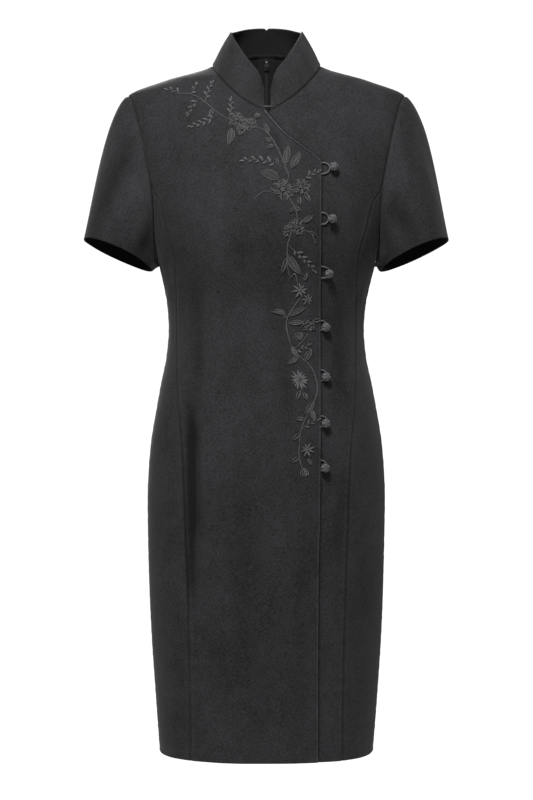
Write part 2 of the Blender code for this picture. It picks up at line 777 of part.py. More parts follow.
def front_overlap(material):
    """The wearer's right front, which crosses the centre to the placket edge."""
    inner = [(-float(front_turn(placket_at(z), z)), z) for z in level_inner_heights()]
    for row in range(1, DIAGONAL_ROWS + 1):
        x, height = diagonal_point(row / DIAGONAL_ROWS)
        inner.append((-float(front_turn(x, height)), height))
    return centre_front(-1, inner + neckline_places(), False, OVERLAP_COLUMNS, material, "front_overlap")


def front_underlap(material):
    """The wearer's left front, which runs on under the overlap."""
    placket_top = float(placket_at(PLACKET_TOP_Z))
    run = np.array(DIAGONAL_END) - np.array([placket_top, PLACKET_TOP_Z])
    under = np.array([run[1], -run[0]])
    under = -under / np.hypot(*under) if under[0] > 0 else under / np.hypot(*under)
    inner = []
    heights = level_inner_heights()
    corner = diagonal_point(0) + under * LAP
    for height in heights:
        squeezed = HEM_Z + (height - HEM_Z) * (corner[1] - HEM_Z) / (PLACKET_TOP_Z - HEM_Z)
        level = height if height <= UNDERARM_Z else min(height, squeezed)
        x = float(placket_at(level)) - LAP + (corner[0] - placket_top + LAP) * smooth_step(
            (level - UNDERARM_Z) / (corner[1] - UNDERARM_Z))
        inner.append((float(front_turn(x, level)), level))
    for row in range(1, DIAGONAL_ROWS + 1):
        share = row / DIAGONAL_ROWS
        lap = LAP_AT_NECK + (LAP - LAP_AT_NECK) * math.sqrt(1 - share)
        x, height = diagonal_point(share) + under * lap
        inner.append((float(front_turn(x, height)), height))
    return centre_front(1, inner + neckline_places(), True, UNDERLAP_COLUMNS, material, "front_underlap")


def back_half_gap(height):
    """Half the gap at the centre back: the zip's slot above, a seam below."""
    return ZIP_SLOT_HALF if height > ZIP_END_Z else BACK_SPLIT_HALF


def back_boundaries():
    """The side and centre boundaries of a back, as places on the +X side."""
    heights = skirt_heights()
    outer = [(1.0, height) for height in heights]
    outer += [armhole_turn(angle, False) for angle in BACK_ARMHOLE[1:]]
    centre_rows = len(BACK_ARMHOLE) - BACK_NECK_ROWS
    centre = heights + list(np.linspace(UNDERARM_Z, BACK_NECK_Z, centre_rows)[1:])
    inner = [(float(back_turn(back_half_gap(height), height)), height) for height in centre]
    for share in np.linspace(1, 0, BACK_NECK_ROWS + 1)[1:]:
        inner.append(neck_back(share))
    return outer, inner, len(centre)


def back_panel(side, material, name):
    """A back, from its side seam to the centre back, and its two faces."""
    boundary, inner, centre_count = back_boundaries()
    places = between(boundary, inner, BACK_COLUMNS)
    mates = armhole_mates(side)
    points, normals = skin(side * places[..., 0], places[..., 1])
    _, collar = neckline_mates(side)
    neck = collar[::-1]
    armhole = [mate_at(mates, angle, False) for angle in BACK_ARMHOLE]
    seams = {
        "first_column": np.array(list(normals[:SKIRT_ROWS, 0]) + armhole),
        "last_column": np.array([FREE] * (centre_count - 1) + neck),
        "last_row": normals[-1].copy(),
    }
    outer_face, inner_face = wall_faces(points, normals, CLOTH, seams)
    add_wall(name, material, outer_face, inner_face)
    return outer_face, inner_face, normals, centre_count


def zip_tape(side, faces, material, name):
    """A tape inside a back, along the zip, on the back's own inner points."""
    _, inner_face, normals, centre_count = faces
    lowest = ZIP_END_Z + TAPE_ABOVE_ZIP_END
    first_row = next(row for row in range(centre_count) if inner_face[row, -1, 2] > lowest)
    rows = slice(first_row, centre_count)
    edge = inner_face[rows, -1]
    toward = inner_face[rows, -2] - edge
    width = np.linalg.norm(toward, axis=-1, keepdims=True)
    near = edge + toward * (TAPE_FROM_SLOT / width)
    far = edge + toward * (TAPE_WIDTH / width)
    normal = normals[rows, -1]
    top = np.stack([near, far], axis=1) - normal[:, None, :] * TAPE_GAP
    top[-1, :, 2] -= TAPE_BELOW_NECK
    bottom = top - normal[:, None, :] * TAPE_THICKNESS
    return add_wall(name, material, top, bottom)


def zip_chain(faces, material):
    """The closed chain in the slot, from its lower end to the slider."""
    outer_face, _, normals, centre_count = faces
    lowest = ZIP_END_Z + TAPE_ABOVE_ZIP_END
    first_row = next(row for row in range(centre_count) if outer_face[row, -1, 2] > lowest)
    line = outer_face[first_row:centre_count, -1].copy()
    normal = normals[first_row:centre_count, -1].copy()
    frame = slider_frame()
    top = frame @ Vector((0.0, 0.0, -SLIDER_HALF_LENGTH - CHAIN_BELOW_SLIDER))
    keep = line[:, 2] < top.z - CHAIN_LEAST_STEP
    line = np.vstack([line[keep], [0.0, top.y, top.z]])
    normal = np.vstack([normal[keep], unit(normal[keep][-1] + normal[-1])])
    points = []
    for x in (-CHAIN_HALF, CHAIN_HALF):
        column = line.copy()
        column[:, 0] = x
        points.append(column - normal * CHAIN_SINK)
    top_face = np.stack(points, axis=1)
    return add_wall("zip_chain", material, top_face, top_face - normal[:, None, :] * CHAIN_THICKNESS)


def slider_frame():
    """The slider's own frame: x across, y out of the cloth, z up along it."""
    height = BACK_NECK_Z - SLIDER_DROP
    point = body_point(2.0, height)
    normal = body_normal(2.0, height)
    out = Vector((0.0, normal[1], normal[2])).normalized()
    up = Vector((0.0, -out.z, out.y))
    frame = Matrix.Identity(4)
    frame.col[1] = (*out, 0.0)
    frame.col[2] = (*up, 0.0)
    frame.translation = (0.0, point[1], height)
    return frame


def bail_axis_height():
    """Height of the bail's axis above the cloth."""
    return SLIDER_FACE_GAP + SLIDER_PLATE + BAIL_TUNNEL_HEIGHT / 2


def block(name, low, high, frame):
    """A box between two corners of a frame, as a loose object."""
    mesh = bpy.data.meshes.new(name)
    shape = bmesh.new()
    bmesh.ops.create_cube(shape, size=1.0)
    size = Vector(high) - Vector(low)
    centre = (Vector(high) + Vector(low)) / 2
    bmesh.ops.scale(shape, vec=size, verts=shape.verts)
    bmesh.ops.translate(shape, vec=centre, verts=shape.verts)
    shape.to_mesh(mesh)
    shape.free()
    thing = bpy.data.objects.new(name, mesh)
    thing.matrix_world = frame
    bpy.context.scene.collection.objects.link(thing)
    return thing


def combine(base, tool, operation):
    """Join or cut a block with another, which then becomes a guide."""
    change = base.modifiers.new(tool.name, "BOOLEAN")
    change.operation = operation
    change.object = tool
    change.solver = "EXACT"
    tool.hide_render = True
    tool.display_type = "WIRE"


def zip_slider(material):
    """The slider: two plates, the bridge through the chain's slot and the bail."""
    frame = slider_frame()
    outside = SLIDER_FACE_GAP + SLIDER_PLATE
    inside = -(CLOTH + TAPE_GAP + TAPE_THICKNESS + SLIDER_FACE_GAP)
    slider = block("zip_slider", (-SLIDER_HALF_WIDTH, SLIDER_FACE_GAP, -SLIDER_HALF_LENGTH),
                   (SLIDER_HALF_WIDTH, outside, SLIDER_HALF_LENGTH), frame)
    slider.data.materials.append(material)
    bridge = block("slider_bridge", (-BRIDGE_HALF_WIDTH, inside - SLIDER_PLATE / 2, BRIDGE_LOW),
                   (BRIDGE_HALF_WIDTH, outside - SLIDER_PLATE / 2, BRIDGE_HIGH), frame)
    back_plate = block("slider_back_plate",
                       (-SLIDER_HALF_WIDTH, inside - SLIDER_PLATE, -BACK_PLATE_HALF_LENGTH),
                       (SLIDER_HALF_WIDTH, inside, BACK_PLATE_HALF_LENGTH), frame)
    bail_top = outside + BAIL_TUNNEL_HEIGHT + BAIL_ROOF
    bail = block("slider_bail", (-BAIL_HALF_WIDTH, outside - SLIDER_PLATE / 2, -BAIL_HALF_LENGTH),
                 (BAIL_HALF_WIDTH, bail_top, BAIL_HALF_LENGTH), frame)
    tunnel = block("slider_tunnel", (-CUT_THROUGH, outside, -BAIL_TUNNEL_HALF),
                   (CUT_THROUGH, outside + BAIL_TUNNEL_HEIGHT, BAIL_TUNNEL_HALF), frame)
    for tool, operation in ((bridge, "UNION"), (back_plate, "UNION"), (bail, "UNION"),
                            (tunnel, "DIFFERENCE")):
        combine(slider, tool, operation)
    return slider


def zip_pull_tab(material):
    """The pull tab, hung on the bail by its top bar, whose middle is the hinge axis."""
    frame = slider_frame()
    frame.translation = frame @ Vector((0.0, bail_axis_height(), 0.0))
    half = TAB_BAR / 2
    tab = block("zip_pull_tab", (-TAB_HALF_WIDTH, -half, -TAB_LENGTH), (TAB_HALF_WIDTH, half, half), frame)
    tab.data.materials.append(material)
    window = block("tab_window", (-TAB_WINDOW_HALF, -CUT_THROUGH, -half - TAB_WINDOW_LENGTH),
                   (TAB_WINDOW_HALF, CUT_THROUGH, -half), frame)
    combine(tab, window, "DIFFERENCE")
    return tab


def zip_stop(material):
    """The small stop at the top of the slot."""
    frame = slider_frame()
    centre = STOP_ABOVE_SLIDER
    stop = block("zip_top_stop", (-CHAIN_HALF, -CLOTH - STOP_PAST_CLOTH, centre - STOP_HALF_LENGTH),
                 (CHAIN_HALF, STOP_OUT, centre + STOP_HALF_LENGTH), frame)
    stop.data.materials.append(material)
    return stop


def surface_frame(x, height, lapped):
    """A frame on the front: z out of the cloth, y up along it."""
    turn = float(front_turn(x, height))
    point, normal = skin(turn, height, lapped)
    out = Vector(normal)
    across = Vector((0.0, 0.0, 1.0)).cross(out).normalized()
    up = out.cross(across)
    frame = Matrix.Identity(4)
    frame.col[0] = (*across, 0.0)
    frame.col[1] = (*up, 0.0)
    frame.col[2] = (*out, 0.0)
    frame.translation = Vector(point)
    return frame


def ball_button(number, x, height, material):
    """A knotted ball on a short shank."""
    start = math.asin(SHANK_RADIUS / BALL_RADIUS)
    profile = [(0.0, BUTTON_SEAT), (SHANK_FOOT_RADIUS, BUTTON_SEAT)]
    for ring in range(BALL_RINGS):
        angle = start + (math.pi - start) * ring / BALL_RINGS
        profile.append((BALL_RADIUS * math.sin(angle), BALL_HEIGHT - BALL_RADIUS * math.cos(angle)))
    profile.append((0.0, BALL_HEIGHT + BALL_RADIUS))
    mesh = bpy.data.meshes.new("button")
    shape = bmesh.new()
    verts = [shape.verts.new((radius, 0.0, rise)) for radius, rise in profile]
    edges = [shape.edges.new(pair) for pair in zip(verts[:-1], verts[1:])]
    bmesh.ops.spin(shape, geom=verts + edges, cent=(0, 0, 0), axis=(0, 0, 1), dvec=(0, 0, 0),
                   angle=2 * math.pi, steps=BUTTON_SIDES, use_merge=True)
    bmesh.ops.remove_doubles(shape, verts=shape.verts, dist=1e-6)
    bmesh.ops.recalc_face_normals(shape, faces=shape.faces)
    shape.to_mesh(mesh)
    shape.free()
    mesh.shade_smooth()
    button = add_object(f"button_{number}", mesh, material)
    button.matrix_world = surface_frame(x, height, True)
    return button


def button_loop(number, edge_x, x, height, half_span, material):
    """A cord loop from the placket edge round the button's shank."""
    curve = bpy.data.curves.new(f"button_loop_{number}", "CURVE")
    curve.dimensions = "3D"
    curve.bevel_depth = LOOP_RADIUS
    curve.bevel_resolution = 1
    curve.use_fill_caps = True
    line = curve.splines.new("POLY")
    line.points.add(LOOP_POINTS - 1)
    reach = x - edge_x + LOOP_PAST_SHANK - LOOP_FROM_EDGE
    for index in range(LOOP_POINTS):
        angle = math.pi * (index / (LOOP_POINTS - 1) - 0.5)
        here_x = edge_x + LOOP_FROM_EDGE + reach * math.cos(angle)
        here_z = height + half_span * math.sin(angle)
        point = surface_frame(here_x, here_z, True) @ Vector((0.0, 0.0, LOOP_HEIGHT))
        line.points[index].co = (*point, 1.0)
    curve.materials.append(material)
    loop = bpy.data.objects.new(f"button_loop_{number}", curve)
    bpy.context.scene.collection.objects.link(loop)
    return loop


def collar_hook(material):
    """The thread bar across the base of the keyhole."""
    curve = bpy.data.curves.new("collar_hook", "CURVE")
    curve.dimensions = "3D"
    curve.bevel_depth = HOOK_RADIUS
    curve.bevel_resolution = 1
    curve.use_fill_caps = True
    right = collar_grid(-1)
    left = collar_grid(1)
    share = HOOK_RISE / float(COLLAR_FRONT_RISE[0][1])
    ends = []
    for grid in (right, left):
        base = grid[0, 1] + (grid[-1, 1] - grid[0, 1]) * share
        ends.append(base)
    low = min(ends[0][1], ends[1][1]) - HOOK_RADIUS - HOOK_OFF_CLOTH
    middle = (ends[0] + ends[1]) / 2
    line = curve.splines.new("POLY")
    line.points.add(2)
    for index, point in enumerate((ends[0], middle, ends[1])):
        line.points[index].co = (point[0], low, point[2], 1.0)
    curve.materials.append(material)
    hook = bpy.data.objects.new("collar_hook", curve)
    bpy.context.scene.collection.objects.link(hook)
    return hook


def sleeve(side, material, name):
    """A short set-in sleeve, open at the armhole and the cuff."""
    grid, stations = sleeve_grid(side)
    normals = sleeve_normals(grid)
    body = []
    for angle, in_front in stations:
        turn, height = armhole_turn(angle, in_front)
        body.append(body_normal(side * turn, height))
    body = np.array(body)
    own = normals[0]
    mitre = -(own + body) / np.maximum(1 + np.sum(own * body, axis=-1, keepdims=True), 1e-6) * CLOTH
    length = np.linalg.norm(mitre, axis=-1, keepdims=True)
    mitre = mitre * np.minimum(1.0, MITRE_LIMIT * CLOTH / length)
    run = np.roll(grid[0], -1, axis=0) - np.roll(grid[0], 1, axis=0)
    away = unit(np.cross(run, mitre))
    growth = grid[1] - grid[0]
    away = away * np.where(np.sum(away * growth, axis=-1, keepdims=True) >= 0, 1.0, -1.0)
    outer = grid.copy()
    inner = grid - normals * CLOTH
    outer[0] = grid[0] + away * SEAM_GAP / 2
    inner[0] = grid[0] + mitre + away * SEAM_GAP / 2
    return add_wall(name, material, outer, inner, wraps=True)


def collar_half(side, material, name):
    """Half of the stand collar, on the neckline."""
    grid = collar_grid(side)
    normals = collar_normals(grid)
    stations, _ = collar_stations(side)
    body = []
    for face, place, height in stations:
        turn = float(front_turn(place, height)) if face == "front" else neck_back(place)[0]
        level = height if face == "front" else neck_back(place)[1]
        body.append(body_normal(side * turn, level))
    body.insert(-1, body[-1])
    outer, inner = wall_faces(grid, normals, COLLAR_CLOTH, {"first_row": np.array(body)})
    return add_wall(name, material, outer, inner)


def main():
    """Build the dress."""
    clear_scene()
    cloth = finish("dress_cloth", CLOTH_COLOUR, 0.85)
    collar = finish("collar_cloth", COLLAR_COLOUR, 0.80)
    cord = finish("cord", CORD_COLOUR, 0.55)
    tape = finish("zip_tape", TAPE_COLOUR, 0.80)
    metal = finish("zip_metal", METAL_COLOUR, 0.35, 1.0)
    front_overlap(cloth)
    front_underlap(cloth)
    for side, word in ((-1, "right"), (1, "left")):
        side_front(side, cloth, f"side_front_{word}")
        faces = back_panel(side, cloth, f"back_{word}")
        zip_tape(side, faces, tape, f"zip_tape_{word}")
        sleeve(side, cloth, f"sleeve_{word}")
        collar_half(side, collar, f"collar_{word}")
    zip_chain(faces, tape)
    zip_slider(metal)
    zip_pull_tab(metal)
    zip_stop(metal)
    collar_hook(cord)
    for number, button in enumerate(map(Button._make, BUTTONS), start=1):
        edge_x = float(placket_at(button.height))
        x = edge_x + button.from_edge
        ball_button(number, x, button.height, cord)
        button_loop(number, edge_x, x, button.height, button.loop_half_span, cord)


main()
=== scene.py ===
"""The finished look of a fitted stand-collar dress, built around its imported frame.

The front faces -Y and the wearer's left is +X. Every cloth piece is a thin shell on one
body form, whose level sections are superellipses. A place on that form is a turn and a
height: turn 0 is the centre front, +1 and -1 are the sides (and the shoulder seams above
the armholes), and +2 and -2 both are the centre back. Lengths are metres.
"""

from __future__ import annotations

import logging
import math
from collections.abc import Callable, Sequence
from dataclasses import dataclass
from enum import Enum

import bmesh
import bpy
import numpy as np
from mathutils import Matrix, Vector

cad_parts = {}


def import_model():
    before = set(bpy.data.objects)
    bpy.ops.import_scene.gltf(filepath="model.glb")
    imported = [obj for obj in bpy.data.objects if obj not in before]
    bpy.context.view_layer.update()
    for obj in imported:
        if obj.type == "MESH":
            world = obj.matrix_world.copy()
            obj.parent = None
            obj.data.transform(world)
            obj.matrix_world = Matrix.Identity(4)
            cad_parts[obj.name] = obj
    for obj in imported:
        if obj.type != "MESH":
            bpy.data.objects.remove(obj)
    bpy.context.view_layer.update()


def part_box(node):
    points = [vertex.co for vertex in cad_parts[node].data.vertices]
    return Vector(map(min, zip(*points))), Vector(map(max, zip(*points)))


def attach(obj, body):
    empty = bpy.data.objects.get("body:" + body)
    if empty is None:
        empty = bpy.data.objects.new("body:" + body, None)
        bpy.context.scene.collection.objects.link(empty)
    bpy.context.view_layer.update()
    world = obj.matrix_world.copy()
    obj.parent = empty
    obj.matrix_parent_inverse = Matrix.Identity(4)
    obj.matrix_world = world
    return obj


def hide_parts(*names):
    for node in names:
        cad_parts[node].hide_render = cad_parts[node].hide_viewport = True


log = logging.getLogger("dress")

# Short names for types: a pair is a turn and a height, points and normals, or points and their UV
Array = np.ndarray
Pair = tuple[Array, Array]
Colour = tuple[float, float, float]
Thing = bpy.types.Object
Material = bpy.types.Material
Socket = bpy.types.NodeSocket
Shape = bmesh.types.BMesh

# Vertex attribute that scales each piece's colour: wear, painted shade in seams, creases, gaps and low
# stitches, and painted highlight on ridges, rims and crests
WEAR_AND_PAINTED_LIGHT = "wear_and_painted_light"
CLOSED_TIP = 1e-5

# Cloth and seams, as the frame has them
CLOTH = 0.0016
COLLAR_CLOTH = 0.0022
LAP_GAP = 0.0008
LAP_RISE = 0.025
LAP_PRESS = 0.0007
LAP_PRESS_WIDTH = 0.0032
LAP = 0.025
LAP_AT_NECK = 0.002

# Levels of the body form
SECTION_POWER = 2.3
HEM_Z = -0.960
UNDERARM_Z = -0.281
SHOULDER_Z = -0.044
BACK_NECK_Z = 0.022
NECK_HALF_WIDTH = 0.0765
NECK_DROP = 0.0715
PLACKET_TOP_Z = -0.145
ZIP_END_Z = -0.560
ZIP_SLOT_HALF = 0.0016
BACK_SPLIT_HALF = 0.0002

# Stations along a panel's edges, counted up from the hem as the frame's rows are
UNDERARM_ROW = 21
TIP_ROW = 27
PLACKET_TOP_ROW = 29
BACK_NECK_ROW = 31
NECK_CORNER_ROW = 34
BACK_SHOULDER_ROW = 37
SHOULDER_ROW = 40

# How much paler each metre of rise (wear and painted highlight) and how much darker each metre of dip
# (painted shade) leaves the cloth
SEAM_WEAR_AND_SHADE = (360, 420)
FOLD_WEAR_AND_SHADE = (110, 150)
WEAR_AND_SHADE_LEAST = -0.7
WEAR_AND_SHADE_MOST = 0.8

# Height, half width, front depth, back depth
BODY_SECTIONS = (
    (0.034, 0.0650, 0.0100, 0.0520),
    (0.022, 0.0665, 0.0120, 0.0550),
    (0.011, 0.0705, 0.0140, 0.0585),
    (0.000, 0.0765, 0.0170, 0.0625),
    (-0.022, 0.1440, 0.0420, 0.0700),
    (-0.044, 0.1940, 0.0600, 0.0765),
    (-0.070, 0.1955, 0.0765, 0.0845),
    (-0.110, 0.1925, 0.0970, 0.0935),
    (-0.150, 0.1865, 0.1125, 0.0990),
    (-0.180, 0.1805, 0.1200, 0.1015),
    (-0.215, 0.1715, 0.1245, 0.1025),
    (-0.250, 0.1610, 0.1225, 0.1010),
    (-0.281, 0.1515, 0.1155, 0.0980),
    (-0.312, 0.1440, 0.1070, 0.0940),
    (-0.340, 0.1388, 0.1015, 0.0905),
    (-0.370, 0.1370, 0.0990, 0.0890),
    (-0.407, 0.1400, 0.1010, 0.0915),
    (-0.446, 0.1480, 0.1065, 0.0980),
    (-0.486, 0.1553, 0.1120, 0.1065),
    (-0.525, 0.1616, 0.1155, 0.1130),
    (-0.565, 0.1650, 0.1175, 0.1175),
    (-0.604, 0.1665, 0.1185, 0.1195),
    (-0.663, 0.1658, 0.1190, 0.1180),
    (-0.742, 0.1637, 0.1185, 0.1155),
    (-0.801, 0.1609, 0.1180, 0.1145),
    (-0.879, 0.1553, 0.1175, 0.1135),
    (-0.960, 0.1493, 0.1175, 0.1135),
)

# Height, distance from the centre line
PRINCESS = (
    (-0.175, 0.1575),
    (-0.199, 0.1455),
    (-0.235, 0.1370),
    (-0.270, 0.1270),
    (-0.310, 0.1245),
    (-0.385, 0.1240),
    (-0.455, 0.1225),
    (-0.487, 0.1200),
    (-0.545, 0.1155),
    (-0.655, 0.1115),
    (-0.730, 0.1080),
    (-0.805, 0.1055),
    (-0.893, 0.1040),
    (-0.960, 0.1035),
)
PLACKET = ((-0.145, 0.0745), (-0.426, 0.0741), (-0.583, 0.0732), (-0.753, 0.0703), (-0.960, 0.0700))


class Face(Enum):
    """The face of the dress that a fold lies on."""

    FRONT = "front"
    BACK = "back"


class Edge(Enum):
    """How one edge of a cloth piece is finished."""

    SEWN = "sewn"
    FREE = "free"
    PIPED = "piped"
    HIDDEN = "hidden"


# Face, x and z at the top, x and z at the low end, half width, rise
FOLDS = (
    (Face.FRONT, -0.0945, -0.300, -0.0950, -0.470, 0.010, -0.0020),
    (Face.FRONT, -0.1010, -0.485, -0.0960, -0.660, 0.010, -0.0032),
    (Face.FRONT, -0.0650, -0.160, -0.0640, -0.590, 0.016, 0.0018),
    (Face.FRONT, 0.0120, -0.100, 0.0260, -0.150, 0.008, -0.0014),
    (Face.FRONT, 0.0330, -0.420, 0.0300, -0.500, 0.011, -0.0014),
    (Face.FRONT, 0.0980, -0.330, 0.1010, -0.470, 0.011, -0.0018),
    (Face.FRONT, 0.1050, -0.560, 0.1000, -0.700, 0.012, -0.0016),
    (Face.BACK, -0.0700, -0.330, -0.0800, -0.470, 0.014, -0.0024),
    (Face.BACK, 0.0660, -0.340, 0.0780, -0.490, 0.014, -0.0020),
    (Face.BACK, -0.0450, -0.400, -0.0300, -0.560, 0.015, 0.0020),
    (Face.BACK, 0.0400, -0.600, 0.0460, -0.860, 0.018, 0.0018),
)

# Finer creases that the frame leaves out, in the same columns
CREASES = (
    (Face.FRONT, -0.1050, -0.450, -0.1030, -0.770, 0.0074, -0.0040),
    (Face.FRONT, -0.0965, -0.520, -0.0935, -0.668, 0.0016, 0.0016),
    (Face.FRONT, -0.0860, -0.480, -0.0870, -0.650, 0.0060, 0.0010),
    (Face.FRONT, -0.1310, -0.276, -0.1270, -0.318, 0.0030, 0.0012),
    (Face.FRONT, -0.0560, -0.300, -0.0620, -0.440, 0.0110, -0.0010),
    (Face.FRONT, 0.0560, -0.240, 0.0500, -0.400, 0.0120, 0.0009),
    (Face.FRONT, -0.0200, -0.330, 0.0040, -0.470, 0.0120, 0.0009),
    (Face.FRONT, -0.1480, -0.262, -0.1290, -0.335, 0.0060, 0.0016),
    (Face.FRONT, -0.1560, -0.268, -0.1400, -0.330, 0.0050, -0.0014),
    (Face.FRONT, 0.1480, -0.262, 0.1270, -0.335, 0.0060, 0.0017),
    (Face.FRONT, 0.1560, -0.268, 0.1390, -0.330, 0.0050, -0.0015),
    (Face.FRONT, 0.0060, -0.094, 0.0170, -0.128, 0.0035, -0.0009),
    (Face.FRONT, 0.0160, -0.098, 0.0320, -0.138, 0.0040, 0.0008),
    (Face.FRONT, 0.1110, -0.320, 0.1150, -0.520, 0.0050, 0.0010),
    (Face.FRONT, -0.1060, -0.700, -0.1000, -0.900, 0.0120, 0.0008),
    (Face.FRONT, 0.0480, -0.640, 0.0440, -0.930, 0.0140, -0.0009),
    (Face.FRONT, -0.0300, -0.560, -0.0260, -0.840, 0.0160, -0.0008),
    (Face.BACK, -0.0700, -0.345, -0.0780, -0.455, 0.0040, -0.0012),
    (Face.BACK, 0.0700, -0.350, 0.0780, -0.470, 0.0040, -0.0010),
    (Face.BACK, -0.1420, -0.270, -0.1180, -0.345, 0.0060, 0.0014),
    (Face.BACK, 0.1420, -0.272, 0.1150, -0.350, 0.0060, 0.0016),
    (Face.BACK, -0.0980, -0.520, -0.0860, -0.720, 0.0110, -0.0014),
    (Face.BACK, 0.1040, -0.500, 0.0900, -0.760, 0.0120, -0.0012),
    (Face.BACK, -0.0120, -0.330, -0.0340, -0.352, 0.0060, -0.0012),
    (Face.BACK, 0.0140, -0.342, 0.0380, -0.366, 0.0060, -0.0011),
)

# Soft drape: waves across, up, along the depth, phase, depth of the wave
DRAPE_WAVES = (
    (46.0, 3.0, 9.0, 0.4, 0.00035),
    (71.0, -5.0, 17.0, 2.1, 0.00022),
    (29.0, 8.0, -13.0, 4.4, 0.00040),
    (93.0, 11.0, 27.0, 1.2, 0.00012),
    (17.0, 21.0, 11.0, 5.2, 0.00030),
    (58.0, -17.0, -31.0, 3.3, 0.00014),
    (120.0, 33.0, 19.0, 0.9, 0.00006),
)


def smooth_step(share: Array) -> Array:
    """Ease from 0 to 1."""
    share = np.clip(share, 0.0, 1.0)
    return share * share * (3 - 2 * share)


def bell(distance: Array, width: float) -> Array:
    """A rounded peak, 1 at no distance and fading out beyond a width."""
    return np.exp(-(distance / width) ** 2)


def either(test: Array, first: Pair, second: Pair) -> Pair:
    """The first pair where a test holds, and the second one elsewhere."""
    return np.where(test, first[0], second[0]), np.where(test, first[1], second[1])


def unit(vectors: Array) -> Array:
    """Vectors of length one."""
    return vectors / np.maximum(np.linalg.norm(vectors, axis=-1, keepdims=True), 1e-12)


def clustered(count: int, crowding: float) -> Array:
    """Shares from 0 to 1 that crowd towards both ends.

    Args:
        count: Number of spans.
        crowding: 0 for even spans, towards 1 for ever finer ones at the ends.

    Returns:
        The count + 1 shares.
    """
    even = np.linspace(0.0, 1.0, count + 1)
    return even - crowding * np.sin(2 * math.pi * even) / (2 * math.pi)


class SmoothCurve:
    """A curve through the rows of a table, which never overshoots them."""

    def __init__(self, table: tuple, column: int = 1) -> None:
        """Fit the curve.

        Args:
            table: Rows of a place and what is measured there, in any order.
            column: Which measure the curve follows.
        """
        rows = np.array(sorted(table), dtype=float)
        self.places = rows[:, 0]
        self.values = rows[:, column]
        self.steps = np.diff(self.places)
        slopes = np.diff(self.values) / self.steps
        self.tangents = np.zeros_like(self.values)
        self.tangents[0] = slopes[0]
        self.tangents[-1] = slopes[-1]
        for row in range(1, len(self.values) - 1):
            before, after = slopes[row - 1], slopes[row]
            if before * after > 0:
                near = 2 * self.steps[row] + self.steps[row - 1]
                far = self.steps[row] + 2 * self.steps[row - 1]
                self.tangents[row] = (near + far) / (near / before + far / after)

    def __call__(self, place: Array) -> Array:
        """The curve's value at a place, held at its ends beyond the table."""
        place = np.clip(np.asarray(place, dtype=float), self.places[0], self.places[-1])
        row = np.clip(np.searchsorted(self.places, place, side="right") - 1, 0, len(self.steps) - 1)
        step = self.steps[row]
        share = (place - self.places[row]) / step
        rise = self.values[row + 1] - self.values[row]
        bend_in = self.tangents[row] * step
        bend_out = self.tangents[row + 1] * step
        square = share * share
        return (self.values[row] + bend_in * share
                + (3 * rise - 2 * bend_in - bend_out) * square
                + (bend_in + bend_out - 2 * rise) * square * share)

    def slope(self, place: Array) -> Array:
        """Rate of change of the curve at a place."""
        step = 1e-5
        return (self(place + step) - self(place - step)) / (2 * step)


